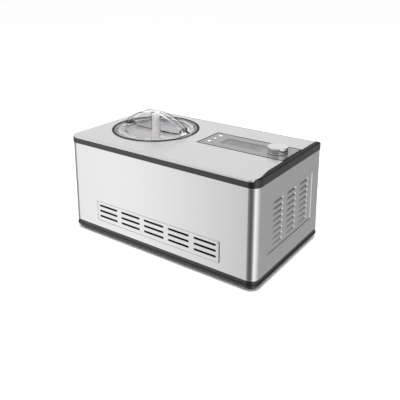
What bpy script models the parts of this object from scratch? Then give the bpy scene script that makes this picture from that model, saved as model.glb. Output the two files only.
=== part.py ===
"""Compressor ice cream maker, built as an assembly of separate pieces.

A steel-wrapped housing stands on four feet. The lidded bowl is on the left, turned by
a gear drive below it and chilled by a coil round its drum. The control window, its
three buttons and the knob are on the right, above the compressor, the condenser and
its fan. Metres, +Z up, front towards -Y, origin under the middle of the housing.
"""
import math

import bmesh
import bpy
from mathutils import Matrix, Vector

# Housing
WIDTH = 0.425
DEPTH = 0.255
CASING_HEIGHT = 0.163
CORNER_RADIUS = 0.0176
CASING_WALL = 0.0015
REAR_SLOPE_DROP = 0.0085
FRAME_HEIGHT = 0.0155
FRAME_RIM = 0.014
GAP = 0.0003

# Base and feet
FOOT_DROP = 0.003
FOOT_RADIUS = 0.010
FOOT_STEM_RADIUS = 0.003
FOOT_INSET = 0.030
TRAY_SKIRT = 0.006
TRAY_BAND = 0.0115
TRAY_SKIRT_INSET = 0.004
TRAY_FLOOR = 0.0025
TRAY_WALL = 0.0025

# Slots in the casing
FRONT_SLOT_COLUMNS = 5
FRONT_SLOT_ROWS = 3
FRONT_SLOT_LENGTH = 0.0468
FRONT_SLOT_HEIGHT = 0.0042
FRONT_SLOT_PITCH_X = 0.0567
FRONT_SLOT_PITCH_Z = 0.0109
FRONT_SLOT_CENTRE_Z = 0.0352
SIDE_SLOT_COLUMNS = 3
SIDE_SLOT_ROWS = 8
SIDE_SLOT_LENGTH = 0.0370
SIDE_SLOT_HEIGHT = 0.0042
SIDE_SLOT_PITCH_Y = 0.0495
SIDE_SLOT_PITCH_Z = 0.0108
SIDE_SLOT_CENTRE_Z = 0.0797
PANEL_MARGIN = 0.0075
PRESSED_DEPTH = 0.0006
REAR_OPENING_FROM_SIDES = 0.0475
REAR_OPENING_HEIGHT = 0.120
REAR_PANEL_LAP = 0.006
REAR_PANEL_THICKNESS = 0.0025
REAR_SLOT_COLUMNS = 3
REAR_SLOT_ROWS = 6
REAR_SLOT_LENGTH = 0.062
REAR_SLOT_HEIGHT = 0.0035
REAR_SLOT_PITCH_X = 0.073
REAR_SLOT_PITCH_Z = 0.0120

# Steel top plate
PLATE_THICKNESS = 0.0012
PLATE_LIP = 0.0065
PLATE_SIDE_INSET = 0.0004
PLATE_REAR_INSET = 0.016
PLATE_RIGHT_INSET = 0.0090
PLATE_NOSE_INSET = 0.0043
PLATE_NOSE_LENGTH = 0.045

# Bowl opening and lid
BEZEL_FROM_LEFT = 0.0243
BOWL_Y = 0.003
OPENING_ROUND_FLANGE = 0.0068
BEZEL_OVERLAP = 0.0034
BEZEL_WALL = 0.0016
BEZEL_STANDS = 0.0010
BEZEL_LEDGE_BELOW_TOP = 0.0090
LID_CLEARANCE = 0.0008
LID_WALL = 0.0022
LID_FLANGE_WIDTH = 0.0238
LID_DISH_DEPTH = 0.0055
RIDGE_END_INSET = 0.0068
RIDGE_HEIGHT = 0.0370
RIDGE_HALF_WIDTH = 0.0085
RIDGE_END_HALF_WIDTH = 0.0125
BOSS_RADIUS = 0.0105

# Bowl, drum and paddle
BOWL_RADIUS = 0.0700
BOWL_WALL = 0.0011
BOWL_DEPTH = 0.1400
BOWL_FLANGE_WIDTH = 0.0090
BOWL_RIM_BELOW_TOP = 0.0105
CHIMNEY_RADIUS = 0.0115
CHIMNEY_BELOW_RIM = 0.040
BOWL_CLEARANCE = 0.0006
DRUM_WALL = 0.0013
COIL_TUBE_RADIUS = 0.0034
COIL_TURNS = 4
INSULATION_THICKNESS = 0.0080
PILLAR_RADIUS = 0.0055
PILLAR_INSET = 0.015
PADDLE_CLEARANCE = 0.0015
PADDLE_POST_RADIUS = 0.0078
PADDLE_WALL = 0.0022
PADDLE_SOCKET_DEPTH = 0.0125
PADDLE_SHOULDER = 0.015
PADDLE_BELOW_RIM = 0.020
PADDLE_BLADE_THICKNESS = 0.0035

# Drive
SHAFT_RADIUS = 0.0050
SHAFT_CLEARANCE = 0.0004
GEAR_MODULE = 0.002
OUTPUT_TEETH = 42
IDLER_TEETH = 30
PINION_TEETH = 10
GEAR_WIDTH = 0.008
GEARBOX_WALL = 0.0022
GEARBOX_CLEARANCE = 0.0022
MOTOR_RADIUS = 0.0185
MOTOR_HEIGHT = 0.046

# Control panel
WINDOW_FROM_BEZEL = 0.0308
WINDOW_DEPTH = 0.0750
WINDOW_Y = 0.0140
WINDOW_THICKNESS = 0.0022
WINDOW_BEZEL = 0.0012
BUTTON_FROM_WINDOW = 0.0180
BUTTON_PITCH = 0.0195
BUTTON_RADIUS = 0.0038
BUTTON_TRAVEL = 0.0008
DISPLAY_FROM_WINDOW = 0.0390
DISPLAY_FROM_KNOB = 0.0074
DISPLAY_DEPTH = 0.0330
KNOB_FROM_RIGHT = 0.0391
KNOB_RADIUS = 0.0190
KNOB_HEIGHT = 0.0113
KNOB_GAP = 0.0006
KNOB_SHAFT_RADIUS = 0.0030
ENCODER_BUSH_RADIUS = 0.0044
CONTROL_BOARD_BELOW_TOP = 0.0112

# Refrigeration
COMPRESSOR_FROM_RIGHT = 0.1245
COMPRESSOR_Y = 0.034
COMPRESSOR_RADIUS = 0.050
COMPRESSOR_HEIGHT = 0.112
CONDENSER_THICKNESS = 0.018
CONDENSER_DEPTH = 0.136
CONDENSER_HEIGHT = 0.148
CONDENSER_FINS = 17
BOARD_X = 0.025
BOARD_FROM_FRONT = 0.0425
BOARD_WIDTH = 0.088
BOARD_DEPTH = 0.050
BOARD_RISE = 0.012
FAN_RADIUS = 0.044
FAN_BLADES = 5
FAN_PITCH = math.radians(20)
FAN_BLADE_THICKNESS = 0.0012
PIPE_RADIUS = 0.003
CAPILLARY_RADIUS = 0.0014

# Fineness of round shapes
CORNER_STEPS = 4
SLOT_CORNER_STEPS = 1
ROUND = 32
TURNS_ROUND = 16
SMALL_ROUND = 16
TINY_ROUND = 10
RIDGE_STEPS = 6
BOSS_TURN = 0.06

# Places and levels worked out from the sizes above
FRONT_Y = -DEPTH / 2
RIGHT_X = WIDTH / 2
PLATE_RIGHT_X = RIGHT_X - PLATE_RIGHT_INSET
PLATE_NOSE_X = RIGHT_X - PLATE_NOSE_INSET
BOWL_FLANGE_RADIUS = BOWL_RADIUS + BOWL_FLANGE_WIDTH
OPENING_RADIUS = BOWL_FLANGE_RADIUS + OPENING_ROUND_FLANGE
BEZEL_RADIUS = OPENING_RADIUS + BEZEL_OVERLAP
LID_DISH_RADIUS = OPENING_RADIUS - LID_FLANGE_WIDTH
RIDGE_HALF_CHORD = OPENING_RADIUS - RIDGE_END_INSET
BOWL_X = -RIGHT_X + BEZEL_FROM_LEFT + BEZEL_RADIUS
WINDOW_LEFT_X = BOWL_X + BEZEL_RADIUS + WINDOW_FROM_BEZEL
WINDOW_RIGHT_X = PLATE_RIGHT_X
BUTTON_X = WINDOW_LEFT_X + BUTTON_FROM_WINDOW
KNOB_X = RIGHT_X - KNOB_FROM_RIGHT
DISPLAY_LEFT_X = WINDOW_LEFT_X + DISPLAY_FROM_WINDOW
DISPLAY_RIGHT_X = KNOB_X - KNOB_RADIUS - DISPLAY_FROM_KNOB
COMPRESSOR_X = RIGHT_X - COMPRESSOR_FROM_RIGHT
REAR_OPENING_WIDTH = WIDTH - 2 * REAR_OPENING_FROM_SIDES
BOARD_PLACE = (BOARD_X, FRONT_Y + BOARD_FROM_FRONT)
TRAY_TOP = FOOT_DROP + TRAY_SKIRT + TRAY_BAND
FLOOR_TOP = FOOT_DROP + TRAY_FLOOR
CASING_BOTTOM = TRAY_TOP + GAP
CASING_TOP = CASING_BOTTOM + CASING_HEIGHT
FRAME_BOTTOM = CASING_TOP + GAP
TOP = CASING_TOP + FRAME_HEIGHT
BOWL_RIM = TOP - BOWL_RIM_BELOW_TOP
BOWL_BOTTOM = BOWL_RIM - BOWL_DEPTH
CHIMNEY_TOP = BOWL_RIM - CHIMNEY_BELOW_RIM
DRUM_RADIUS = BOWL_RADIUS + BOWL_CLEARANCE
DRUM_RIM = BOWL_RIM - BOWL_WALL - GAP
DRUM_BOTTOM = BOWL_BOTTOM - BOWL_CLEARANCE - DRUM_WALL
COIL_INNER = DRUM_RADIUS + DRUM_WALL + GAP
COIL_RADIUS = (COIL_INNER + COIL_TUBE_RADIUS) / math.cos(math.pi / TURNS_ROUND)
JACKET_INNER = (COIL_RADIUS + COIL_TUBE_RADIUS + GAP) / math.cos(math.pi / ROUND)
JACKET_RADIUS = JACKET_INNER + INSULATION_THICKNESS
LID_RADIUS = OPENING_RADIUS - LID_CLEARANCE
GEARBOX_BOTTOM = FLOOR_TOP + GAP
GEAR_BOTTOM = GEARBOX_BOTTOM + GEARBOX_WALL + 0.0025
GEARBOX_TOP = GEAR_BOTTOM + GEAR_WIDTH + 0.0025
COVER_TOP = GEARBOX_TOP + GAP + GEARBOX_WALL
IDLER_X = BOWL_X + GEAR_MODULE * (OUTPUT_TEETH + IDLER_TEETH) / 2
PINION_X = IDLER_X + GEAR_MODULE * (IDLER_TEETH + PINION_TEETH) / 2
CONTROL_BOARD_TOP = TOP - CONTROL_BOARD_BELOW_TOP


# ---------------------------------------------------------------- scene and materials

def clear_scene():
    """Take out whatever the scene holds."""
    for old in list(bpy.data.objects):
        bpy.data.objects.remove(old, do_unlink=True)


def material(name, colour, roughness, metallic=0.0, alpha=1.0):
    """A plain material with the colour and gloss of its piece."""
    made = bpy.data.materials.get(name)
    if made:
        return made
    made = bpy.data.materials.new(name)
    made.use_nodes = True
    shader = made.node_tree.nodes["Principled BSDF"]
    shader.inputs["Base Color"].default_value = (*colour, 1.0)
    shader.inputs["Roughness"].default_value = roughness
    shader.inputs["Metallic"].default_value = metallic
    shader.inputs["Alpha"].default_value = alpha
    return made


def steel():
    return material("brushed_steel", (0.72, 0.72, 0.73), 0.30, 1.0)


def black_plastic():
    return material("black_plastic", (0.025, 0.023, 0.025), 0.42)


def grey_plastic():
    return material("grey_plastic", (0.30, 0.30, 0.31), 0.5)


def white_plastic():
    return material("white_plastic", (0.86, 0.86, 0.84), 0.4)


def window_plastic():
    return material("window_plastic", (0.42, 0.42, 0.43), 0.08)


def display_glass():
    return material("display_glass", (0.27, 0.28, 0.28), 0.1)


def clear_plastic():
    return material("clear_plastic", (0.75, 0.76, 0.78), 0.05, 0.0, 0.35)


def chrome():
    return material("chrome", (0.85, 0.85, 0.86), 0.08, 1.0)


def aluminium():
    return material("aluminium", (0.78, 0.78, 0.78), 0.35, 1.0)


def copper():
    return material("copper", (0.72, 0.35, 0.20), 0.3, 1.0)


def rubber():
    return material("rubber", (0.03, 0.03, 0.03), 0.8)


def silicone():
    return material("silicone", (0.55, 0.56, 0.57), 0.6)


def foam():
    return material("foam", (0.80, 0.76, 0.62), 0.9)


def enamel():
    return material("black_enamel", (0.03, 0.03, 0.032), 0.35)


def circuit_board():
    return material("circuit_board", (0.05, 0.25, 0.12), 0.5)


# ---------------------------------------------------------------- shape helpers

def finish(name, mesh_data, piece_material, sharp_degrees=35):
    """Link a mesh as a named object, with its faces out and its round faces smooth."""
    mesh = bpy.data.meshes.new(name)
    bmesh.ops.recalc_face_normals(mesh_data, faces=mesh_data.faces)
    mesh_data.to_mesh(mesh)
    mesh_data.free()
    mesh.materials.append(piece_material)
    mesh.shade_smooth()
    mesh.set_sharp_from_angle(angle=math.radians(sharp_degrees))
    piece = bpy.data.objects.new(name, mesh)
    bpy.context.scene.collection.objects.link(piece)
    return piece


def set_origin(piece, origin):
    """Move an object's origin to a point and leave its shape where it is."""
    piece.data.transform(Matrix.Translation(-Vector(origin)))
    piece.location = origin


def circle(radius, segments=ROUND, centre=(0.0, 0.0), turn=0.0):
    """Points round a circle, anticlockwise."""
    points = []
    for step in range(segments):
        angle = turn + 2 * math.pi * step / segments
        x = centre[0] + radius * math.cos(angle)
        y = centre[1] + radius * math.sin(angle)
        points.append((x, y))
    return points


def arc(centre, radius, start, end, steps):
    """Points along an arc, angles in degrees."""
    points = []
    for step in range(steps + 1):
        angle = math.radians(start + (end - start) * step / steps)
        points.append((centre[0] + radius * math.cos(angle), centre[1] + radius * math.sin(angle)))
    return points


def rounded(width, depth, radius, centre=(0.0, 0.0), steps=CORNER_STEPS):
    """Outline of a rounded rectangle, anticlockwise from its right rear corner."""
    half_x = width / 2 - radius
    half_y = depth / 2 - radius
    points = []
    for corner, (side_x, side_y) in enumerate(((1, 1), (-1, 1), (-1, -1), (1, -1))):
        middle = (centre[0] + side_x * half_x, centre[1] + side_y * half_y)
        points += arc(middle, radius, 90 * corner, 90 * corner + 90, steps)
    return points


def housing(inset):
    """Outline of the housing, moved in by an inset."""
    radius = max(CORNER_RADIUS - inset, 0.002)
    return rounded(WIDTH - 2 * inset, DEPTH - 2 * inset, radius)


def at_level(outline, level):
    """A flat outline lifted to a level."""
    return [(x, y, level) for x, y in outline]


def loft(name, rings, piece_material, closed=False):
    """A solid through rings of equally many points, capped or closed on itself."""
    shape = bmesh.new()
    rows = [[shape.verts.new(point) for point in ring] for ring in rings]
    count = len(rows[0])
    pairs = list(zip(rows[:-1], rows[1:]))
    if closed:
        pairs.append((rows[-1], rows[0]))
    for lower, upper in pairs:
        for index in range(count):
            after = (index + 1) % count
            shape.faces.new((lower[index], lower[after], upper[after], upper[index]))
    if not closed:
        shape.faces.new(rows[0])
        shape.faces.new(rows[-1])
    return finish(name, shape, piece_material)


def plate(name, outline, holes, bottom, top, piece_material):
    """A flat piece with through holes, from its outline and its holes' outlines."""
    shape = bmesh.new()
    edges = []
    for loop in [outline] + list(holes):
        corners = [shape.verts.new((x, y, bottom)) for x, y in loop]
        for index, corner in enumerate(corners):
            edges.append(shape.edges.new((corner, corners[(index + 1) % len(corners)])))
    bmesh.ops.triangle_fill(shape, use_beauty=True, edges=edges)
    raised = bmesh.ops.extrude_face_region(shape, geom=shape.faces[:], use_keep_orig=True)
    lifted = [item for item in raised["geom"] if isinstance(item, bmesh.types.BMVert)]
    bmesh.ops.translate(shape, verts=lifted, vec=(0, 0, top - bottom))
    return finish(name, shape, piece_material)


def turned(name, profile, piece_material, centre=(0.0, 0.0), segments=ROUND, turn=0.0):
    """A solid turned about a vertical axis; its profile may start and end on the axis."""
    shape = bmesh.new()
    columns = []
    for radius, level in profile:
        if radius == 0:
            columns.append([shape.verts.new((*centre, level))])
            continue
        points = circle(radius, segments, centre, turn)
        columns.append([shape.verts.new((x, y, level)) for x, y in points])
    order = list(zip(columns, columns[1:] + columns[:1]))
    for first, second in order:
        if len(first) == 1 and len(second) == 1:
            continue
        for index in range(segments):
            after = (index + 1) % segments
            if len(first) == 1:
                shape.faces.new((first[0], second[after], second[index]))
            elif len(second) == 1:
                shape.faces.new((first[index], first[after], second[0]))
            else:
                shape.faces.new((first[index], first[after], second[after], second[index]))
    return finish(name, shape, piece_material)


def add_box(shape, centre, size):
    """Add a box to a shape that is being built."""
    matrix = Matrix.Translation(centre) @ Matrix.Diagonal((*size, 1.0))
    bmesh.ops.create_cube(shape, size=1.0, matrix=matrix)


def box(name, centre, size, piece_material, bevel=0.0):
    """A box with its upright and level edges slightly rounded."""
    shape = bmesh.new()
    add_box(shape, centre, size)
    if bevel:
        bmesh.ops.bevel(shape, geom=shape.edges[:], offset=bevel, segments=1, affect="EDGES")
    return finish(name, shape, piece_material)


def pipe(name, points, radius, piece_material, fineness=1):
    """A round pipe along points, with closed ends."""
    curve = bpy.data.curves.new(name, "CURVE")
    curve.dimensions = "3D"
    curve.bevel_depth = radius
    curve.bevel_resolution = fineness
    curve.use_fill_caps = True
    spline = curve.splines.new("POLY")
    spline.points.add(len(points) - 1)
    for slot, point in zip(spline.points, points):
        slot.co = (*point, 1.0)
    curve.materials.append(piece_material)
    piece = bpy.data.objects.new(name, curve)
    bpy.context.scene.collection.objects.link(piece)
    return piece


def smooth_path(points, steps=3):
    """A smooth path through points, by Catmull-Rom pieces."""
    corners = [Vector(point) for point in points]
    corners = [2 * corners[0] - corners[1]] + corners + [2 * corners[-1] - corners[-2]]
    path = []
    for start in range(1, len(corners) - 2):
        before, first, second, after = corners[start - 1:start + 3]
        for step in range(steps):
            share = step / steps
            blend = 2 * first + (second - before) * share
            blend += (2 * before - 5 * first + 4 * second - after) * share ** 2
            blend += (3 * first - before - 3 * second + after) * share ** 3
            path.append(blend / 2)
    path.append(corners[-2])
    return path


def combine(piece, tool, operation):
    """Cut a tool from a piece, or weld it on, and leave the tool out of the model."""
    step = piece.modifiers.new(operation.lower(), "BOOLEAN")
    step.operation = operation
    step.object = tool
    step.solver = "EXACT"
    tool.hide_render = True
    tool.display_type = "WIRE"


def cut(piece, tool):
    combine(piece, tool, "DIFFERENCE")


def weld(piece, tool):
    combine(piece, tool, "UNION")


def slot_tool(name, centres, length, height, depth, along_x):
    """A cutter of bars with rounded ends, through a front or a side wall."""
    shape = bmesh.new()
    for centre in centres:
        ends = []
        for offset in (-depth / 2, depth / 2):
            ring = []
            for run, rise in rounded(length, height, height * 0.45, steps=SLOT_CORNER_STEPS):
                if along_x:
                    point = (centre[0] + run, centre[1] + offset, centre[2] + rise)
                else:
                    point = (centre[0] + offset, centre[1] + run, centre[2] + rise)
                ring.append(shape.verts.new(point))
            ends.append(ring)
        count = len(ends[0])
        for index in range(count):
            after = (index + 1) % count
            shape.faces.new((ends[0][index], ends[0][after], ends[1][after], ends[1][index]))
        shape.faces.new(ends[0])
        shape.faces.new(ends[1])
    return finish(name, shape, black_plastic())


def grid(columns, rows, pitch_across, pitch_up):
    """Offsets of a centred grid of slots."""
    offsets = []
    for row in range(rows):
        for column in range(columns):
            across = (column - (columns - 1) / 2) * pitch_across
            up = (row - (rows - 1) / 2) * pitch_up
            offsets.append((across, up))
    return offsets


# ---------------------------------------------------------------- base and casing

def foot_places():
    """Name and place of each foot."""
    x = WIDTH / 2 - FOOT_INSET
    y = DEPTH / 2 - FOOT_INSET
    return {"foot_front_left": (-x, -y), "foot_front_right": (x, -y),
            "foot_rear_left": (-x, y), "foot_rear_right": (x, y)}


def make_feet():
    for name, place in foot_places().items():
        top = FOOT_DROP - GAP
        stem = FOOT_STEM_RADIUS
        profile = [(0, 0), (FOOT_RADIUS * 0.9, 0), (FOOT_RADIUS, 0.001), (FOOT_RADIUS, top),
                   (stem, top), (stem, FLOOR_TOP + 0.002), (0, FLOOR_TOP + 0.002)]
        turned(name, profile, rubber(), place, SMALL_ROUND)


def make_base_tray():
    """Shallow tray with a stepped skirt, foot holes and air slots in its floor."""
    inner = TRAY_WALL
    band = FOOT_DROP + TRAY_SKIRT
    rings = [at_level(housing(TRAY_SKIRT_INSET + 0.0025), FOOT_DROP),
             at_level(housing(TRAY_SKIRT_INSET), FOOT_DROP + 0.0025),
             at_level(housing(TRAY_SKIRT_INSET), band - 0.001),
             at_level(housing(0.001), band),
             at_level(housing(0.0), band + 0.0012),
             at_level(housing(0.0), TRAY_TOP),
             at_level(housing(inner), TRAY_TOP),
             at_level(housing(inner), band + 0.0025),
             at_level(housing(TRAY_SKIRT_INSET + inner), band),
             at_level(housing(TRAY_SKIRT_INSET + inner), FLOOR_TOP + 0.001),
             at_level(housing(TRAY_SKIRT_INSET + inner + 0.001), FLOOR_TOP)]
    tray = loft("base_tray", rings, black_plastic())
    for name, place in foot_places().items():
        hole = [(0, 0), (FOOT_STEM_RADIUS + GAP, 0), (FOOT_STEM_RADIUS + GAP, FLOOR_TOP + 0.01),
                (0, FLOOR_TOP + 0.01)]
        cut(tray, turned("hole_" + name, hole, black_plastic(), place, TINY_ROUND))
    slots = []
    for across, up in grid(3, 4, 0.034, 0.012):
        slots.append((COMPRESSOR_X + 0.037 + across, FRONT_Y + 0.045 + up))
    tools = bmesh.new()
    for x, y in slots:
        add_box(tools, (x, y, FOOT_DROP), (0.026, 0.004, 0.02))
    cut(tray, finish("base_slot_tool", tools, black_plastic()))
    posts = bmesh.new()
    for across, up in grid(2, 2, BOARD_WIDTH - 0.010, BOARD_DEPTH - 0.010):
        x = BOARD_PLACE[0] + across
        y = BOARD_PLACE[1] + up
        matrix = Matrix.Translation((x, y, FLOOR_TOP + BOARD_RISE / 2 - 0.0005))
        bmesh.ops.create_cone(posts, cap_ends=True, segments=8, radius1=0.003, radius2=0.003,
                              depth=BOARD_RISE - GAP + 0.001, matrix=matrix)
    weld(tray, finish("board_posts", posts, black_plastic()))


def make_casing():
    """Steel wrap with a pressed, slotted panel at the front and one at the right."""
    inner = housing(CASING_WALL)
    outer = housing(0.0)
    rings = [at_level(outer, CASING_BOTTOM), at_level(outer, CASING_TOP),
             at_level(inner, CASING_TOP), at_level(inner, CASING_BOTTOM)]
    casing = loft("casing_shell", rings, steel(), closed=True)
    front_z = CASING_BOTTOM + FRONT_SLOT_CENTRE_Z
    side_z = CASING_BOTTOM + SIDE_SLOT_CENTRE_Z
    front_size = ((FRONT_SLOT_COLUMNS - 1) * FRONT_SLOT_PITCH_X + FRONT_SLOT_LENGTH,
                  (FRONT_SLOT_ROWS - 1) * FRONT_SLOT_PITCH_Z + FRONT_SLOT_HEIGHT)
    side_size = ((SIDE_SLOT_COLUMNS - 1) * SIDE_SLOT_PITCH_Y + SIDE_SLOT_LENGTH,
                 (SIDE_SLOT_ROWS - 1) * SIDE_SLOT_PITCH_Z + SIDE_SLOT_HEIGHT)
    pressed = slot_tool("front_pressing", [(0, FRONT_Y, front_z)],
                        front_size[0] + 2 * PANEL_MARGIN, front_size[1] + 2 * PANEL_MARGIN,
                        2 * PRESSED_DEPTH, True)
    cut(casing, pressed)
    pressed = slot_tool("side_pressing", [(RIGHT_X, 0, side_z)],
                        side_size[0] + 2 * PANEL_MARGIN, side_size[1] + 2 * PANEL_MARGIN,
                        2 * PRESSED_DEPTH, False)
    cut(casing, pressed)
    centres = []
    for across, up in grid(FRONT_SLOT_COLUMNS, FRONT_SLOT_ROWS, FRONT_SLOT_PITCH_X,
                           FRONT_SLOT_PITCH_Z):
        centres.append((across, FRONT_Y, front_z + up))
    cut(casing, slot_tool("front_slots", centres, FRONT_SLOT_LENGTH, FRONT_SLOT_HEIGHT, 0.01, True))
    centres = []
    for across, up in grid(SIDE_SLOT_COLUMNS, SIDE_SLOT_ROWS, SIDE_SLOT_PITCH_Y,
                           SIDE_SLOT_PITCH_Z):
        centres.append((RIGHT_X, across, side_z + up))
    cut(casing, slot_tool("side_slots", centres, SIDE_SLOT_LENGTH, SIDE_SLOT_HEIGHT, 0.01, False))
    opening = bmesh.new()
    add_box(opening, (0, -FRONT_Y, CASING_BOTTOM + CASING_HEIGHT / 2),
            (REAR_OPENING_WIDTH, 0.02, REAR_OPENING_HEIGHT))
    cut(casing, finish("rear_opening", opening, steel()))


def upright(piece):
    """Stand a flat-made piece up: its own y becomes height and its height faces front."""
    piece.data.transform(Matrix.Rotation(math.pi / 2, 4, "X"))
    return piece


def facing_right(piece):
    """Stand a flat-made piece up so that its height faces right and its x becomes depth."""
    turn = Matrix(((0, 0, 1, 0), (1, 0, 0, 0), (0, 1, 0, 0), (0, 0, 0, 1)))
    piece.data.transform(turn)
    return piece


def rear_panel_face():
    """The panel's outer face, just inside the casing's rear wall."""
    return DEPTH / 2 - CASING_WALL - GAP


def inlet_place():
    return (-REAR_OPENING_WIDTH / 2 + 0.032, CASING_BOTTOM + CASING_HEIGHT / 2 - 0.028)


def make_rear_panel():
    """Black panel behind the rear opening, with air slots and a hole for the inlet."""
    height = CASING_BOTTOM + CASING_HEIGHT / 2
    outline = rounded(REAR_OPENING_WIDTH + 2 * REAR_PANEL_LAP,
                      REAR_OPENING_HEIGHT + 2 * REAR_PANEL_LAP, 0.004, (0, height))
    holes = [rounded(0.0272, 0.0202, 0.002, inlet_place(), 2)]
    for across, up in grid(REAR_SLOT_COLUMNS, REAR_SLOT_ROWS, REAR_SLOT_PITCH_X,
                           REAR_SLOT_PITCH_Z):
        centre = (0.045 + across, height + up)
        holes.append(rounded(REAR_SLOT_LENGTH, REAR_SLOT_HEIGHT, 0.0015, centre,
                             SLOT_CORNER_STEPS))
    face = rear_panel_face()
    panel = plate("rear_panel", outline, holes, -face, REAR_PANEL_THICKNESS - face,
                  black_plastic())
    upright(panel)


def make_power_inlet():
    """Three-pin appliance inlet: a flange, a body and a cavity round its pins."""
    x, z = inlet_place()
    face = rear_panel_face()
    body_end = face - 0.016
    flange_top = face + GAP + 0.0013
    body = rounded(0.0266, 0.0196, 0.0018, (x, z), 2)
    flange = rounded(0.0310, 0.0240, 0.0025, (x, z), 2)
    cavity = rounded(0.0240, 0.0165, 0.0012, (x, z), 2)
    steps = [(body, body_end), (body, face + GAP), (flange, face + GAP), (flange, flange_top),
             (cavity, flange_top), (cavity, body_end + 0.0018)]
    rings = [at_level(outline, -depth) for outline, depth in steps]
    inlet = upright(loft("power_inlet", rings, black_plastic()))
    pins = bmesh.new()
    for across, up in ((-0.007, 0.0), (0.007, 0.0), (0.0, 0.004)):
        add_box(pins, (x + across, body_end + 0.006, z + up), (0.002, 0.011, 0.0035))
    weld(inlet, finish("inlet_pins", pins, chrome()))


# ---------------------------------------------------------------- top of the housing

def pan_outline(inset, right_inset, rear_inset=None):
    """Outline of the steel top: it rounds the front right corner and then steps in."""
    rear_inset = inset if rear_inset is None else rear_inset
    edge = CORNER_RADIUS
    left = -WIDTH / 2
    rear = DEPTH / 2 - PLATE_REAR_INSET
    chamfer = 0.002
    nose = 0.013
    right = PLATE_RIGHT_X - right_inset
    points = [(right, rear - rear_inset - chamfer), (right - chamfer, rear - rear_inset)]
    middle = (left + edge, rear - 0.012)
    for x, y in arc((0, 0), 1.0, 90, 180, CORNER_STEPS):
        points.append((middle[0] + x * (edge - PLATE_SIDE_INSET - inset),
                       middle[1] + y * (0.012 - rear_inset)))
    radius = edge - PLATE_SIDE_INSET - inset
    points += arc((left + edge, FRONT_Y + edge), radius, 180, 270, CORNER_STEPS)
    start = FRONT_Y + PLATE_SIDE_INSET + nose
    for x, y in arc((0, 0), 1.0, 270, 360, CORNER_STEPS):
        points.append((PLATE_NOSE_X - nose + x * (nose - right_inset), start + y * (nose - inset)))
    for step in range(1, 8):
        share = step / 7
        swing = (1 + math.cos(math.pi * share)) / 2
        x = PLATE_RIGHT_X + (PLATE_NOSE_X - PLATE_RIGHT_X) * swing - right_inset
        points.append((x, start + share * PLATE_NOSE_LENGTH))
    return points


def make_top_frame():
    """Black frame on the casing: a ledge under the steel top and a rail at its right."""
    rear_rim = PLATE_REAR_INSET + 0.008
    inner = rounded(WIDTH - 2 * FRAME_RIM, DEPTH - FRAME_RIM - rear_rim, 0.006,
                    (0, (FRAME_RIM - rear_rim) / 2))
    rings = [at_level(housing(0.0), FRAME_BOTTOM),
             at_level(housing(0.0), TOP - 0.0022),
             at_level(housing(0.0006), TOP - 0.0007),
             at_level(housing(0.0020), TOP),
             at_level(inner, TOP),
             at_level(inner, FRAME_BOTTOM)]
    frame = loft("top_frame", rings, black_plastic(), closed=True)
    under = PLATE_THICKNESS + GAP
    groove = TOP - PLATE_LIP - GAP
    rings = [at_level(pan_outline(0.0078, under), TOP - under),
             at_level(pan_outline(0.0050, under), TOP - under - 0.0006),
             at_level(pan_outline(0.0031, under), TOP - under - 0.0021),
             at_level(pan_outline(0.0017, under), TOP - under - 0.0038),
             at_level(pan_outline(0.0017, under), groove),
             at_level(pan_outline(-0.002, -GAP, -GAP), groove),
             at_level(pan_outline(-0.002, -GAP, -GAP), TOP + 0.002)]
    cut(frame, loft("plate_recess", rings, black_plastic()))
    middle, width, depth = window_place()
    notch = bmesh.new()
    length = width + 0.02
    add_box(notch, (WINDOW_RIGHT_X + GAP - length / 2, middle[1], TOP), (length, depth, 0.018))
    cut(frame, finish("frame_notch", notch, black_plastic()))
    start = DEPTH / 2 - PLATE_REAR_INSET + 2 * GAP
    end = DEPTH / 2 + 0.002
    drop = REAR_SLOPE_DROP
    slope = [(start, TOP), (end, TOP - drop), (end, TOP + 0.01), (start, TOP + 0.01)]
    rings = [[(x, y, z) for y, z in slope] for x in (-WIDTH, WIDTH)]
    cut(frame, loft("rear_slope", rings, black_plastic()))


def window_place():
    """Middle, width and depth of the notch that holds the control window."""
    width = WINDOW_RIGHT_X - WINDOW_LEFT_X
    return (WINDOW_LEFT_X + width / 2, WINDOW_Y), width, WINDOW_DEPTH


def make_top_plate():
    """Brushed steel pan with a turned-down rim, a round opening and a notch."""
    lip = TOP - PLATE_LIP
    thick = PLATE_THICKNESS
    inner = [(0.0066, TOP - thick), (0.0042, TOP - thick - 0.0004),
             (0.0023, TOP - thick - 0.0016), (thick, TOP - thick - 0.0032), (thick, lip)]
    outer = [(0.0, lip), (0.0, TOP - 0.0042), (0.0008, TOP - 0.0024),
             (0.0024, TOP - 0.0009), (0.0045, TOP - 0.0002), (0.0066, TOP)]
    rings = [at_level(pan_outline(inset, thick), level) for inset, level in inner]
    rings += [at_level(pan_outline(inset, 0.0), level) for inset, level in outer]
    top = loft("top_plate", rings, steel())
    radius = OPENING_RADIUS + BEZEL_WALL + GAP
    hole = [(0, TOP - 0.01), (radius, TOP - 0.01), (radius, TOP + 0.01), (0, TOP + 0.01)]
    cut(top, turned("opening_tool", hole, steel(), (BOWL_X, BOWL_Y)))
    middle, width, depth = window_place()
    notch = bmesh.new()
    add_box(notch, (middle[0] + 0.01, middle[1], TOP), (width + 0.02, depth, 0.02))
    cut(top, finish("notch_tool", notch, steel()))


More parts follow.
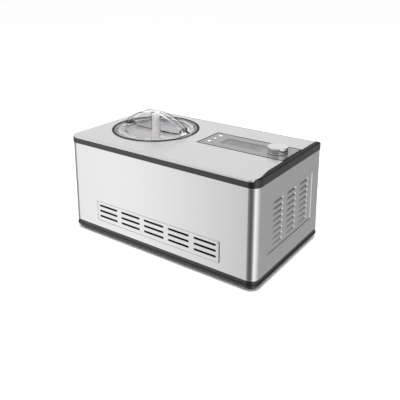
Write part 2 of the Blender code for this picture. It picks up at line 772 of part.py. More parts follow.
def make_opening_bezel():
    """Black ring in the round opening, with an inner ledge that the lid rests on."""
    tube = OPENING_RADIUS + BEZEL_WALL
    ledge = TOP - BEZEL_LEDGE_BELOW_TOP
    inner = BOWL_FLANGE_RADIUS + BOWL_CLEARANCE
    under = TOP + GAP
    high = TOP + BEZEL_STANDS
    profile = [(inner, ledge - 0.0016), (tube, ledge - 0.0016), (tube, under),
               (BEZEL_RADIUS, under), (BEZEL_RADIUS - 0.0003, high - 0.0002),
               (BEZEL_RADIUS - 0.0009, high), (OPENING_RADIUS + 0.0007, high),
               (OPENING_RADIUS, high - 0.0006), (OPENING_RADIUS, ledge), (inner, ledge)]
    turned("opening_bezel", profile, black_plastic(), (BOWL_X, BOWL_Y))


# ---------------------------------------------------------------- lid

def ridge_height(x):
    """Height of the lid's grip above the top, as an arc over its chord."""
    chord = RIDGE_HALF_CHORD
    radius = (chord ** 2 + RIDGE_HEIGHT ** 2) / (2 * RIDGE_HEIGHT)
    return math.sqrt(radius ** 2 - x ** 2) - (radius - RIDGE_HEIGHT)


def lid_middle(radius):
    """Level of the middle of the lid's wall at a distance from its centre."""
    dish = TOP - LID_DISH_DEPTH
    rise = min(max((radius - LID_DISH_RADIUS + 0.003) / 0.006, 0.0), 1.0)
    return dish + (TOP + 0.0006 - dish) * rise - LID_WALL / 2


def ridge_section(x, shrink, foot):
    """Cross-section of the grip: upright sides under a gently crowned top."""
    share = abs(x) / RIDGE_HALF_CHORD
    half = RIDGE_HALF_WIDTH + (RIDGE_END_HALF_WIDTH - RIDGE_HALF_WIDTH) * share ** 2 - shrink
    top = TOP + ridge_height(x) - shrink
    top = max(top, foot + 0.002)
    shape = [(-half, foot), (half, foot), (half, top - 0.0018), (half - 0.0009, top - 0.0005),
             (half - 0.0028, top), (0.0028 - half, top), (0.0009 - half, top - 0.0005),
             (-half, top - 0.0018)]
    return [(BOWL_X + x, BOWL_Y + y, z) for y, z in shape]


def ridge_places(reach):
    """Places of the grip's cross-sections, closer together towards its ends."""
    return [reach * math.sin(math.pi / 2 * step / RIDGE_STEPS)
            for step in range(-RIDGE_STEPS, RIDGE_STEPS + 1)]


def make_lid():
    """Clear lid: rim, sloping flange, sunk dish and a hollow arched grip with a boss."""
    flange = TOP + 0.0006
    dish = TOP - LID_DISH_DEPTH
    wall = LID_WALL
    skirt = TOP - BEZEL_LEDGE_BELOW_TOP + GAP
    inner = LID_DISH_RADIUS
    profile = [(0, dish), (inner - 0.003, dish), (inner, flange - 0.0012), (inner + 0.003, flange),
               (LID_RADIUS - 0.0012, flange), (LID_RADIUS, flange - 0.0012), (LID_RADIUS, skirt),
               (LID_RADIUS - wall, skirt), (LID_RADIUS - wall, flange - wall),
               (inner + 0.0022, flange - wall), (inner - 0.0022, dish - wall), (0, dish - wall)]
    centre = (BOWL_X, BOWL_Y)
    lid = turned("lid", profile, clear_plastic(), centre)
    length = RIDGE_HALF_CHORD - 0.0012
    places = ridge_places(length)
    grip = loft("grip_outside", [ridge_section(x, 0.0, lid_middle(abs(x))) for x in places],
                clear_plastic())
    boss_top = TOP + RIDGE_HEIGHT - 0.001
    post = [(0, dish - 0.001), (BOSS_RADIUS, dish - 0.001), (BOSS_RADIUS, boss_top - 0.0012),
            (BOSS_RADIUS - 0.0014, boss_top), (0, boss_top)]
    boss = turned("boss_outside", post, clear_plastic(), centre, SMALL_ROUND, BOSS_TURN)
    weld(lid, grip)
    weld(lid, boss)
    hollow = length - 0.010
    places = ridge_places(hollow)
    inside = loft("grip_inside", [ridge_section(x, wall, dish - 0.004) for x in places],
                  clear_plastic())
    bore = BOSS_RADIUS - 0.0014
    post = [(0, dish - 0.004), (bore, dish - 0.004), (bore, boss_top - wall), (0, boss_top - wall)]
    boss_bore = turned("boss_bore", post, clear_plastic(), centre, SMALL_ROUND, BOSS_TURN)
    cut(lid, inside)
    cut(lid, boss_bore)


def make_lid_seal():
    """Soft ring under the lid's flange, over the bowl's rim."""
    low = BOWL_RIM + BOWL_WALL + 2 * GAP
    high = TOP + 0.0006 - LID_WALL - GAP
    inner = BOWL_FLANGE_RADIUS - 0.0075
    profile = [(inner, low + 0.001), (inner + 0.0010, low), (inner + 0.0040, low),
               (inner + 0.0050, low + 0.001), (inner + 0.0050, high), (inner, high)]
    turned("lid_seal", profile, silicone(), (BOWL_X, BOWL_Y))


# ---------------------------------------------------------------- bowl, drum, paddle

def make_bowl():
    """Lift-out bowl with a flat rim and an open chimney for the drive shaft."""
    wall = BOWL_WALL
    inner = BOWL_RADIUS - wall
    low = BOWL_BOTTOM
    chimney = CHIMNEY_RADIUS
    high = CHIMNEY_TOP
    profile = [(chimney - wall, low), (BOWL_RADIUS - 0.006, low), (BOWL_RADIUS - 0.0018, low + 0.0018),
               (BOWL_RADIUS, low + 0.006), (BOWL_RADIUS, BOWL_RIM),
               (BOWL_FLANGE_RADIUS, BOWL_RIM), (BOWL_FLANGE_RADIUS, BOWL_RIM + wall),
               (inner + 0.0008, BOWL_RIM + wall), (inner, BOWL_RIM), (inner, low + 0.006),
               (inner - 0.0050, low + wall),
               (chimney + 0.003, low + wall), (chimney, low + wall + 0.003), (chimney, high),
               (chimney - wall, high)]
    turned("bowl", profile, aluminium(), (BOWL_X, BOWL_Y))


def make_cooling_drum():
    """Fixed drum that the bowl drops into, with a flange and a hub hole."""
    inner = DRUM_RADIUS
    outer = inner + DRUM_WALL
    low = DRUM_BOTTOM
    hub = SHAFT_RADIUS + 0.0045 + GAP
    profile = [(hub, low), (outer - 0.006, low), (outer, low + 0.006), (outer, DRUM_RIM - DRUM_WALL),
               (BOWL_FLANGE_RADIUS, DRUM_RIM - DRUM_WALL), (BOWL_FLANGE_RADIUS, DRUM_RIM),
               (inner, DRUM_RIM), (inner, low + 0.006), (inner - 0.0047, low + DRUM_WALL),
               (hub, low + DRUM_WALL)]
    turned("cooling_drum", profile, aluminium(), (BOWL_X, BOWL_Y))


def coil_end(turn_degrees, radius, level):
    angle = math.radians(turn_degrees)
    return (BOWL_X + radius * math.cos(angle), BOWL_Y + radius * math.sin(angle), level)


def coil_levels():
    return DRUM_BOTTOM + 0.030, DRUM_RIM - 0.016


def make_evaporator_coil():
    """Copper pipe wound round the drum, with both tails out through the jacket's slot."""
    low, high = coil_levels()
    per_turn = TURNS_ROUND
    count = COIL_TURNS * per_turn
    path = [coil_end(-4, JACKET_RADIUS + 0.003, low), coil_end(-3, COIL_RADIUS + 0.003, low)]
    for step in range(1, count):
        path.append(coil_end(360 * step / per_turn, COIL_RADIUS, low + (high - low) * step / count))
    path += [coil_end(3, COIL_RADIUS + 0.003, high), coil_end(4, JACKET_RADIUS + 0.003, high)]
    pipe("evaporator_coil", path, COIL_TUBE_RADIUS, copper())


def make_insulation_jacket():
    """Foam cup round the coil, with a slot for the pipes and a hole for the shaft."""
    top = TOP - BEZEL_LEDGE_BELOW_TOP - 0.0016 - 2 * GAP
    floor = DRUM_BOTTOM - GAP
    low = floor - INSULATION_THICKNESS
    hub = SHAFT_RADIUS + 0.0045 + GAP
    profile = [(hub, low), (JACKET_RADIUS, low), (JACKET_RADIUS, top), (JACKET_INNER, top),
               (JACKET_INNER, floor), (hub, floor)]
    jacket = turned("insulation_jacket", profile, foam(), (BOWL_X, BOWL_Y))
    slot = bmesh.new()
    low, high = coil_levels()
    reach = JACKET_INNER - 0.004
    length = 0.04
    add_box(slot, (BOWL_X + reach + length / 2, BOWL_Y, (low + high) / 2),
            (length, 0.026, high - low + 0.014))
    cut(jacket, finish("jacket_slot", slot, foam()))


def make_drum_pillars():
    """Three pillars that carry the drum and its jacket above the base."""
    high = DRUM_BOTTOM - INSULATION_THICKNESS - 2 * GAP
    low = FLOOR_TOP + GAP
    for number, angle in enumerate((100, 180, 260)):
        centre = coil_end(angle, JACKET_RADIUS - PILLAR_INSET, low)[:2]
        profile = [(0, low), (PILLAR_RADIUS, low), (PILLAR_RADIUS, high), (0, high)]
        turned("drum_pillar_%d" % (number + 1), profile, grey_plastic(), centre, 12)


def make_paddle():
    """White paddle: a sleeve over the chimney, a post up to the lid and two blades."""
    sleeve = CHIMNEY_RADIUS + PADDLE_CLEARANCE
    hub = sleeve + PADDLE_WALL
    low = BOWL_BOTTOM + BOWL_WALL + 0.0035
    cap = CHIMNEY_TOP + PADDLE_CLEARANCE
    socket = SHAFT_RADIUS + SHAFT_CLEARANCE
    post_top = TOP + RIDGE_HEIGHT - 0.001 - LID_WALL - 0.0015
    post = PADDLE_POST_RADIUS
    shoulder = cap + PADDLE_SHOULDER
    profile = [(0, post_top), (post - 0.0012, post_top), (post, post_top - 0.0012),
               (post, shoulder + 0.006), (hub, shoulder), (hub, low), (sleeve, low), (sleeve, cap),
               (socket, cap), (socket, cap + PADDLE_SOCKET_DEPTH), (0, cap + PADDLE_SOCKET_DEPTH)]
    paddle = turned("paddle", profile, white_plastic(), (BOWL_X, BOWL_Y), SMALL_ROUND)
    reach = BOWL_RADIUS - BOWL_WALL - PADDLE_CLEARANCE
    high = BOWL_RIM - PADDLE_BELOW_RIM
    edge = 0.007
    frame = [(sleeve + 0.001, low), (reach - 0.006, low), (reach, low + 0.006), (reach, high - 0.004),
             (reach - edge, high), (reach - edge - 0.004, shoulder - 0.030),
             (sleeve + 0.001, shoulder - 0.012)]
    gap = [(hub + 0.006, low + 0.012), (reach - 0.010, low + 0.014), (reach - 0.012, shoulder - 0.044),
           (hub + 0.006, shoulder - 0.030)]
    thick = PADDLE_BLADE_THICKNESS
    for side in (0, 1):
        blade = plate("blade_%d" % side, frame, [gap], -thick / 2, thick / 2, white_plastic())
        upright(blade)
        turn = Matrix.Translation((BOWL_X, BOWL_Y, 0)) @ Matrix.Rotation(math.pi * side, 4, "Z")
        blade.data.transform(turn)
        weld(paddle, blade)
    set_origin(paddle, (BOWL_X, BOWL_Y, low))


# ---------------------------------------------------------------- gear drive

def gear_outline(teeth, centre, first_tooth):
    """Outline of a spur gear, with a tooth at one angle and slim straight-sided teeth."""
    pitch = GEAR_MODULE * teeth / 2
    tip = pitch + 0.80 * GEAR_MODULE
    root = pitch - 1.15 * GEAR_MODULE
    half = math.pi * GEAR_MODULE / 4 * 0.84
    slope = math.tan(math.radians(20))
    half_tip = half - 0.80 * GEAR_MODULE * slope
    half_root = half + 1.15 * GEAR_MODULE * slope
    points = []
    for tooth in range(teeth):
        middle = first_tooth + 2 * math.pi * tooth / teeth
        for radius, offset in ((root, -half_root), (tip, -half_tip), (tip, half_tip),
                               (root, half_root)):
            angle = middle + offset / radius
            points.append((centre[0] + radius * math.cos(angle), centre[1] + radius * math.sin(angle)))
    return points


def belt_outline(first, first_radius, second, second_radius, steps=8):
    """Outline round two circles on a line along X, as a tight belt would run."""
    spread = math.degrees(math.acos((first_radius - second_radius) / (second[0] - first[0])))
    points = arc(first, first_radius, spread, 360 - spread, 2 * steps)
    points += arc(second, second_radius, -spread, spread, steps)
    return points


def gearbox_outline(inset):
    big = GEAR_MODULE * (OUTPUT_TEETH / 2 + 1) + GEARBOX_CLEARANCE + GEARBOX_WALL
    small = GEAR_MODULE * (IDLER_TEETH / 2 - 1) + GEARBOX_CLEARANCE + GEARBOX_WALL
    return belt_outline((BOWL_X, BOWL_Y), big - inset, (PINION_X, BOWL_Y), small - inset)


def make_gearbox():
    outer = gearbox_outline(0.0)
    inner = gearbox_outline(GEARBOX_WALL)
    floor = GEARBOX_BOTTOM + GEARBOX_WALL
    rings = [at_level(outer, GEARBOX_BOTTOM), at_level(outer, GEARBOX_TOP),
             at_level(inner, GEARBOX_TOP), at_level(inner, floor)]
    loft("gearbox_housing", rings, grey_plastic())
    holes = [circle(SHAFT_RADIUS + SHAFT_CLEARANCE, SMALL_ROUND, (BOWL_X, BOWL_Y)),
             circle(0.0026, 12, (PINION_X, BOWL_Y))]
    plate("gearbox_cover", outer, holes, GEARBOX_TOP + GAP, COVER_TOP, grey_plastic())


def make_gears():
    high = GEAR_BOTTOM + GEAR_WIDTH
    centre = (BOWL_X, BOWL_Y)
    bore = circle(SHAFT_RADIUS + GAP, SMALL_ROUND, centre)
    gear = plate("output_gear", gear_outline(OUTPUT_TEETH, centre, 0.0), [bore], GEAR_BOTTOM, high,
                 white_plastic())
    set_origin(gear, (*centre, GEAR_BOTTOM))
    centre = (IDLER_X, BOWL_Y)
    bore = circle(0.003 + SHAFT_CLEARANCE, 16, centre)
    outline = gear_outline(IDLER_TEETH, centre, math.pi * (1 + 1 / IDLER_TEETH))
    gear = plate("idler_gear", outline, [bore], GEAR_BOTTOM, high, white_plastic())
    set_origin(gear, (*centre, GEAR_BOTTOM))
    centre = (PINION_X, BOWL_Y)
    bore = circle(0.002 + GAP, 12, centre)
    gear = plate("motor_pinion", gear_outline(PINION_TEETH, centre, math.pi), [bore], GEAR_BOTTOM,
                 high, aluminium())
    set_origin(gear, (*centre, GEAR_BOTTOM))


def make_shafts():
    floor = GEARBOX_BOTTOM + GEARBOX_WALL + GAP
    top = CHIMNEY_TOP + PADDLE_CLEARANCE + 0.011
    radius = SHAFT_RADIUS
    profile = [(0, floor), (radius, floor), (radius, top - 0.001), (radius - 0.001, top), (0, top)]
    shaft = turned("drive_shaft", profile, aluminium(), (BOWL_X, BOWL_Y), SMALL_ROUND)
    set_origin(shaft, (BOWL_X, BOWL_Y, floor))
    pin_top = GEARBOX_TOP
    profile = [(0, floor), (0.003, floor), (0.003, pin_top), (0, pin_top)]
    turned("idler_pin", profile, aluminium(), (IDLER_X, BOWL_Y), 16)
    motor_shaft_top = COVER_TOP + 0.012
    profile = [(0, floor), (0.002, floor), (0.002, motor_shaft_top), (0, motor_shaft_top)]
    shaft = turned("motor_shaft", profile, aluminium(), (PINION_X, BOWL_Y), 12)
    set_origin(shaft, (PINION_X, BOWL_Y, floor))


def make_motor():
    """Paddle motor above the gearbox, with a nose bore for its shaft."""
    low = COVER_TOP + GAP
    high = low + MOTOR_HEIGHT
    radius = MOTOR_RADIUS
    bore = 0.002 + SHAFT_CLEARANCE
    profile = [(bore, low), (radius - 0.001, low), (radius, low + 0.001), (radius, high - 0.003),
               (radius - 0.003, high), (0.006, high), (0.006, high + 0.003), (0, high + 0.003),
               (0, low + 0.014), (bore, low + 0.014)]
    centre = (PINION_X, BOWL_Y)
    turned("paddle_motor", profile, aluminium(), centre, 20)


def make_bearing_and_seal():
    """Flanged bush in the drum's hub and the rubber seal above it."""
    bore = SHAFT_RADIUS + SHAFT_CLEARANCE / 2
    outer = SHAFT_RADIUS + 0.0045
    low = DRUM_BOTTOM - INSULATION_THICKNESS - 0.0025
    flange_top = DRUM_BOTTOM - INSULATION_THICKNESS - 2 * GAP
    high = DRUM_BOTTOM + DRUM_WALL - 0.0014
    profile = [(bore, low), (outer + 0.004, low), (outer + 0.004, flange_top),
               (outer, flange_top), (outer, high), (bore, high)]
    turned("shaft_bearing", profile, white_plastic(), (BOWL_X, BOWL_Y), SMALL_ROUND)
    bottom = high + GAP
    top = BOWL_BOTTOM - GAP
    bore = SHAFT_RADIUS + GAP
    profile = [(bore, bottom), (outer - GAP, bottom), (outer - GAP, top), (bore, top)]
    turned("shaft_seal", profile, rubber(), (BOWL_X, BOWL_Y), SMALL_ROUND)


# ---------------------------------------------------------------- control panel

def window_outline(shrink):
    """Outline of the control window's notch, shrunk on every side."""
    middle, width, depth = window_place()
    return rounded(width - 2 * shrink, depth - 2 * shrink, 0.0022, middle, 3)


def display_place():
    width = DISPLAY_RIGHT_X - DISPLAY_LEFT_X
    return (DISPLAY_LEFT_X + width / 2, WINDOW_Y), width, DISPLAY_DEPTH


def button_places():
    return [(BUTTON_X, WINDOW_Y + step * BUTTON_PITCH) for step in (-1, 0, 1)]


def make_window_carrier():
    """Black surround of the control window, with a ledge under it."""
    ledge = TOP - WINDOW_THICKNESS - GAP
    high = TOP + 0.0002
    low = TOP - 0.0070
    rings = [at_level(window_outline(GAP), low), at_level(window_outline(GAP), high),
             at_level(window_outline(WINDOW_BEZEL), high),
             at_level(window_outline(WINDOW_BEZEL), ledge),
             at_level(window_outline(WINDOW_BEZEL + 0.0020), ledge),
             at_level(window_outline(WINDOW_BEZEL + 0.0020), low)]
    loft("window_carrier", rings, black_plastic(), closed=True)


def make_control_window():
    holes = [circle(BUTTON_RADIUS + GAP, 16, place) for place in button_places()]
    middle, width, depth = display_place()
    holes.append(rounded(width, depth, 0.0015, middle, 2))
    holes.append(circle(ENCODER_BUSH_RADIUS + GAP, 20, (KNOB_X, WINDOW_Y)))
    plate("control_window", window_outline(WINDOW_BEZEL + GAP), holes, TOP - WINDOW_THICKNESS, TOP,
          window_plastic())


def make_display():
    middle, width, depth = display_place()
    outline = rounded(width - 2 * GAP, depth - 2 * GAP, 0.0013, middle, 2)
    plate("display", outline, [], CONTROL_BOARD_TOP + GAP, TOP - GAP, display_glass())


def make_buttons():
    for number, place in enumerate(button_places()):
        under = TOP - WINDOW_THICKNESS - GAP
        cap = BUTTON_RADIUS
        high = TOP + 0.0006
        low = CONTROL_BOARD_TOP + BUTTON_TRAVEL + GAP
        profile = [(0, high), (cap - 0.0005, high), (cap, high - 0.0005), (cap, under),
                   (cap + 0.0012, under), (cap + 0.0012, under - 0.0012), (0.0015, under - 0.0012),
                   (0.0015, low), (0, low)]
        button = turned("button_%d" % (number + 1), profile, white_plastic(), place, 12)
        set_origin(button, (*place, high))


def make_knob():
    """Turned knob with a chamfered crown, hollow round a boss for its shaft."""
    low = TOP + KNOB_GAP
    high = TOP + KNOB_HEIGHT
    radius = KNOB_RADIUS
    bore = KNOB_SHAFT_RADIUS + GAP
    profile = [(0, high), (radius - 0.0012, high), (radius - 0.0004, high - 0.0004),
               (radius, high - 0.0012), (radius, low), (radius - 0.0022, low),
               (radius - 0.0022, high - 0.0022), (bore + 0.003, high - 0.0022),
               (bore + 0.003, low + 0.001), (bore, low + 0.001), (bore, high - 0.0028),
               (0, high - 0.0028)]
    knob = turned("knob", profile, chrome(), (KNOB_X, WINDOW_Y))
    set_origin(knob, (KNOB_X, WINDOW_Y, low))
    top = high - 0.0028 - GAP
    bottom = CONTROL_BOARD_TOP + 0.004
    radius = KNOB_SHAFT_RADIUS
    profile = [(0, bottom), (radius, bottom), (radius, top), (0, top)]
    shaft = turned("knob_shaft", profile, aluminium(), (KNOB_X, WINDOW_Y), 16)
    set_origin(shaft, (KNOB_X, WINDOW_Y, bottom))


def make_encoder():
    """Rotary encoder on the control board, with a bush up through the window."""
    low = CONTROL_BOARD_TOP + GAP
    high = TOP - WINDOW_THICKNESS - GAP
    centre = (KNOB_X, WINDOW_Y)
    encoder = box("encoder", (*centre, (low + high) / 2), (0.013, 0.013, high - low), grey_plastic())
    radius = ENCODER_BUSH_RADIUS
    profile = [(0, high - 0.001), (radius, high - 0.001), (radius, TOP), (0, TOP)]
    weld(encoder, turned("encoder_bush", profile, grey_plastic(), centre, 20))
    bore = KNOB_SHAFT_RADIUS + GAP
    profile = [(0, low + 0.003), (bore, low + 0.003), (bore, TOP + 0.01), (0, TOP + 0.01)]
    cut(encoder, turned("encoder_bore", profile, grey_plastic(), centre, 16))


def make_control_board():
    left = WINDOW_LEFT_X + 0.006
    right = WIDTH / 2 - FRAME_RIM - 0.004
    centre = ((left + right) / 2, WINDOW_Y)
    outline = rounded(right - left, WINDOW_DEPTH - 0.010, 0.002, centre, 2)
    plate("control_board", outline, [], CONTROL_BOARD_TOP - 0.0016, CONTROL_BOARD_TOP,
          circuit_board())


# ---------------------------------------------------------------- refrigeration

def make_compressor():
    """Sealed compressor on a plate with three rubber mounts, and its relay cover."""
    centre = (COMPRESSOR_X, COMPRESSOR_Y)
    low = FLOOR_TOP + 0.0105
    radius = COMPRESSOR_RADIUS
    height = COMPRESSOR_HEIGHT
    seam = low + height * 0.5
    profile = [(0, low), (radius * 0.68, low), (radius * 0.92, low + 0.008), (radius, low + 0.020),
               (radius, seam - 0.003), (radius + 0.0015, seam - 0.002),
               (radius + 0.0015, seam + 0.002), (radius, seam + 0.003),
               (radius, low + height - 0.024), (radius * 0.9, low + height - 0.009),
               (radius * 0.6, low + height - 0.001), (0, low + height)]
    turned("compressor", profile, enamel(), centre, 24)
    base = FLOOR_TOP + 0.0075
    turns = (-50, 70, 160)
    places = [shell_point(turn, radius + 0.003, base)[:2] for turn in turns]
    outline = []
    for index, place in enumerate(places):
        before = (turns[index] + turns[index - 1]) / 2 - (180 if index == 0 else 0)
        after = (turns[index] + turns[(index + 1) % 3]) / 2 + (180 if index == 2 else 0)
        outline += arc(place, 0.012, before, after, 4)
    holes = [circle(0.0045, 12, place) for place in places]
    plate("compressor_plate", outline, holes, base, low - GAP, enamel())
    for number, place in enumerate(places):
        profile = [(0.0022, FLOOR_TOP + GAP), (0.0080, FLOOR_TOP + GAP), (0.0070, base - GAP),
                   (0.0042, base - GAP), (0.0042, low), (0.0065, low), (0.0060, low + 0.003),
                   (0.0022, low + 0.003)]
        turned("compressor_mount_%d" % (number + 1), profile, rubber(), place, TINY_ROUND)
    depth = 0.016
    y = COMPRESSOR_Y - radius - 0.0015 - GAP - depth / 2
    box("relay_cover", (COMPRESSOR_X, y, seam), (0.036, depth, 0.036), black_plastic(), 0.002)


def condenser_face():
    """Inner face of the condenser, towards the fan."""
    return WIDTH / 2 - TRAY_SKIRT_INSET - TRAY_WALL - 0.001 - CONDENSER_THICKNESS


def make_condenser():
    """Finned block behind the side slots, drawn as one comb and raised."""
    face = condenser_face()
    spine = face + CONDENSER_THICKNESS - 0.003
    pitch = CONDENSER_DEPTH / CONDENSER_FINS
    fin = 0.0016
    start = -CONDENSER_DEPTH / 2
    outline = [(spine + 0.003, start), (spine + 0.003, -start)]
    for index in reversed(range(CONDENSER_FINS)):
        middle = start + (index + 0.5) * pitch
        outline += [(spine, middle + fin / 2), (face, middle + fin / 2), (face, middle - fin / 2),
                    (spine, middle - fin / 2)]
    outline.insert(2, (spine, -start))
    outline.append((spine, start))
    low = FLOOR_TOP + GAP
    plate("condenser", outline, [], low, low + CONDENSER_HEIGHT, aluminium())


def fan_place():
    """Middle of the fan and the shroud's two faces along X."""
    height = FLOOR_TOP + CONDENSER_HEIGHT * 0.6
    right = condenser_face() - 0.003
    return height, right - 0.013, right


def make_fan():
    """Shroud with a motor bar, the motor, and a rotor of pitched blades on its shaft."""
    height, left, right = fan_place()
    low = FLOOR_TOP + GAP
    high = height + FAN_RADIUS + 0.008
    outline = rounded(2 * FAN_RADIUS + 0.016, high - low, 0.004, (0, (low + high) / 2), 2)
    hole = circle(FAN_RADIUS + 0.002, 24, (0, height))
    shroud = facing_right(plate("fan_shroud", outline, [hole], left, right, grey_plastic()))
    bar_outline = rounded(2 * FAN_RADIUS + 0.010, 0.016, 0.002, (0, height), 2)
    bar_hole = circle(0.0035, 12, (0, height))
    bar = plate("motor_bar", bar_outline, [bar_hole], left - 0.0015, left + 0.0015, grey_plastic())
    weld(shroud, facing_right(bar))
    motor_face = left - 0.0015 - GAP
    length = 0.022
    radius = 0.0150
    bore = 0.0015 + SHAFT_CLEARANCE
    profile = [(bore, motor_face), (bore, motor_face - 0.012), (0, motor_face - 0.012),
               (0, motor_face - length), (radius - 0.002, motor_face - length),
               (radius, motor_face - length + 0.002), (radius, motor_face)]
    motor = facing_right(turned("fan_motor", profile, enamel(), (0, 0), 24))
    motor.data.transform(Matrix.Translation((0, 0, height)))
    start = left + 0.0025
    end = right - 0.001
    profile = [(0, start), (0.013, start), (0.013, end - 0.002), (0.011, end), (0, end)]
    rotor = facing_right(turned("fan_rotor", profile, black_plastic(), (0, 0), 20))
    place_on_fan_axis(rotor, height)
    for number in range(FAN_BLADES):
        weld(rotor, make_fan_blade(number, (start + end) / 2, height))
    hole = [(0, start - 0.002), (0.0018, start - 0.002), (0.0018, start + 0.006), (0, start + 0.006)]
    bore_tool = facing_right(turned("rotor_bore", hole, black_plastic(), (0, 0), 12))
    place_on_fan_axis(bore_tool, height)
    cut(rotor, bore_tool)
    profile = [(0, motor_face - 0.011), (0.0015, motor_face - 0.011), (0.0015, start + 0.005),
               (0, start + 0.005)]
    shaft = facing_right(turned("fan_shaft", profile, aluminium(), (0, 0), 12))
    place_on_fan_axis(shaft, height)
    set_origin(rotor, (start, 0, height))
    set_origin(shaft, (start, 0, height))


def place_on_fan_axis(piece, height):
    piece.data.transform(Matrix.Translation((0, 0, height)))


def make_fan_blade(number, middle, height):
    """One pitched blade, narrow at the hub and wide at its tip."""
    rings = []
    for reach, chord in ((0.011, 0.010), (FAN_RADIUS - 0.002, 0.026)):
        ring = []
        for along, thick in ((-0.5, -0.5), (0.5, -0.5), (0.5, 0.5), (-0.5, 0.5)):
            run = along * chord
            offset = thick * FAN_BLADE_THICKNESS
            x = middle + run * math.sin(FAN_PITCH) + offset * math.cos(FAN_PITCH)
            y = run * math.cos(FAN_PITCH) - offset * math.sin(FAN_PITCH)
            ring.append((x, y, reach))
        rings.append(ring)
    blade = loft("fan_blade_%d" % number, rings, black_plastic())
    blade.data.transform(Matrix.Rotation(2 * math.pi * number / FAN_BLADES, 4, "X"))
    blade.data.transform(Matrix.Translation((0, 0, height)))
    return blade


def shell_point(degrees, reach, level):
    angle = math.radians(degrees)
    return (COMPRESSOR_X + reach * math.cos(angle), COMPRESSOR_Y + reach * math.sin(angle), level)


def make_refrigerant_line():
    """Filter drier and the copper pipes between compressor, condenser and coil."""
    drier_x = condenser_face() - 0.030
    drier_z = FLOOR_TOP + 0.030
    front = FRONT_Y + 0.030
    body = [(0, 0), (0.003, 0), (0.0085, 0.010), (0.0085, 0.045), (0.003, 0.055), (0, 0.055)]
    drier = upright(turned("filter_drier", body, copper(), (0, 0), 16))
    drier.data.transform(Matrix.Translation((drier_x, front + 0.055, drier_z)))
    gap = 2 * GAP
    low, high = coil_levels()
    tail = JACKET_RADIUS + 0.003 + gap
    shell = COMPRESSOR_RADIUS + gap
    level = FLOOR_TOP + COMPRESSOR_HEIGHT * 0.8
    path = [coil_end(4, tail, high), coil_end(4, tail + 0.012, high),
            coil_end(7, tail + 0.028, high - 0.012), coil_end(9, tail + 0.034, high - 0.040),
            shell_point(190, shell + 0.016, level + 0.009), shell_point(190, shell + 0.006, level),
            shell_point(190, shell, level)]
    pipe("suction_pipe", smooth_path(path), PIPE_RADIUS, copper())
    top = FLOOR_TOP + GAP + CONDENSER_HEIGHT + gap
    x = condenser_face() + CONDENSER_THICKNESS - 0.004
    path = [shell_point(-20, shell, level), shell_point(-20, shell + 0.006, level),
            shell_point(-19, shell + 0.012, level + 0.012),
            shell_point(-18, shell + 0.014, level + 0.040), (x - 0.030, 0.010, top + 0.012),
            (x - 0.006, 0.004, top + 0.013), (x, 0.003, top + 0.008), (x, 0.003, top)]
    pipe("discharge_pipe", smooth_path(path), PIPE_RADIUS, copper())
    path = [(drier_x, front - gap, drier_z), (drier_x - 0.004, front - 0.008, drier_z + 0.004),
            (drier_x - 0.040, front + 0.002, drier_z + 0.030),
            (COMPRESSOR_X - 0.028, front + 0.020, low),
            coil_end(-14, tail + 0.045, low + 0.004), coil_end(-5, tail + 0.014, low),
            coil_end(-4, tail, low)]
    pipe("capillary_tube", smooth_path(path), CAPILLARY_RADIUS, copper(), 0)


def make_power_board():
    low = FLOOR_TOP + BOARD_RISE + GAP
    outline = rounded(BOARD_WIDTH, BOARD_DEPTH, 0.002, BOARD_PLACE, 2)
    plate("power_board", outline, [], low, low + 0.0016, circuit_board())
    x, y = BOARD_PLACE
    centre = (x - 0.018, y, low + 0.0016 + GAP + 0.012)
    box("transformer", centre, (0.034, 0.030, 0.024), material("transformer", (0.6, 0.5, 0.1), 0.5),
        0.001)


def main():
    clear_scene()
    make_base_tray()
    make_feet()
    make_casing()
    make_rear_panel()
    make_power_inlet()
    make_top_frame()
    make_top_plate()
    make_opening_bezel()
    make_lid()
    make_lid_seal()
    make_bowl()
    make_cooling_drum()
    make_evaporator_coil()
    make_insulation_jacket()
    make_drum_pillars()
    make_paddle()
    make_gearbox()
    make_gears()
    make_shafts()
    make_motor()
    make_bearing_and_seal()
    make_window_carrier()
    make_control_window()
    make_display()
    make_buttons()
    make_knob()
    make_encoder()
    make_control_board()
    make_compressor()
    make_condenser()
    make_fan()
    make_refrigerant_line()
    make_power_board()


main()
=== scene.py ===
"""Visible pieces and finishes of a compressor ice cream maker, laid over its packed frame."""
import math

import bmesh
import bpy
from bpy.props import FloatProperty, FloatVectorProperty, IntProperty, PointerProperty
from mathutils import Matrix, Vector


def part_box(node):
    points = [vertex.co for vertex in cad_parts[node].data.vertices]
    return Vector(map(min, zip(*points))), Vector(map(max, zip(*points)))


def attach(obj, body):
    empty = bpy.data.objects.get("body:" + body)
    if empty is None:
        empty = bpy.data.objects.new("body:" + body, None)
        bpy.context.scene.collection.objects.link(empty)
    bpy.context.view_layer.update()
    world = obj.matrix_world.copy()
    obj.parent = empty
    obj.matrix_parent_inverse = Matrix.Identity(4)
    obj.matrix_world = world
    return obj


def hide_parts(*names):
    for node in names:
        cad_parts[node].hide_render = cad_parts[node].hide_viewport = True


bl_info = {
    "name": "Ice cream maker finish",
    "version": (1, 0, 0),
    "blender": (4, 5, 0),
    "location": "View3D > Sidebar > Ice Cream",
    "description": "Builds the visible pieces and the finishes of a compressor ice cream maker",
    "category": "Object",
}

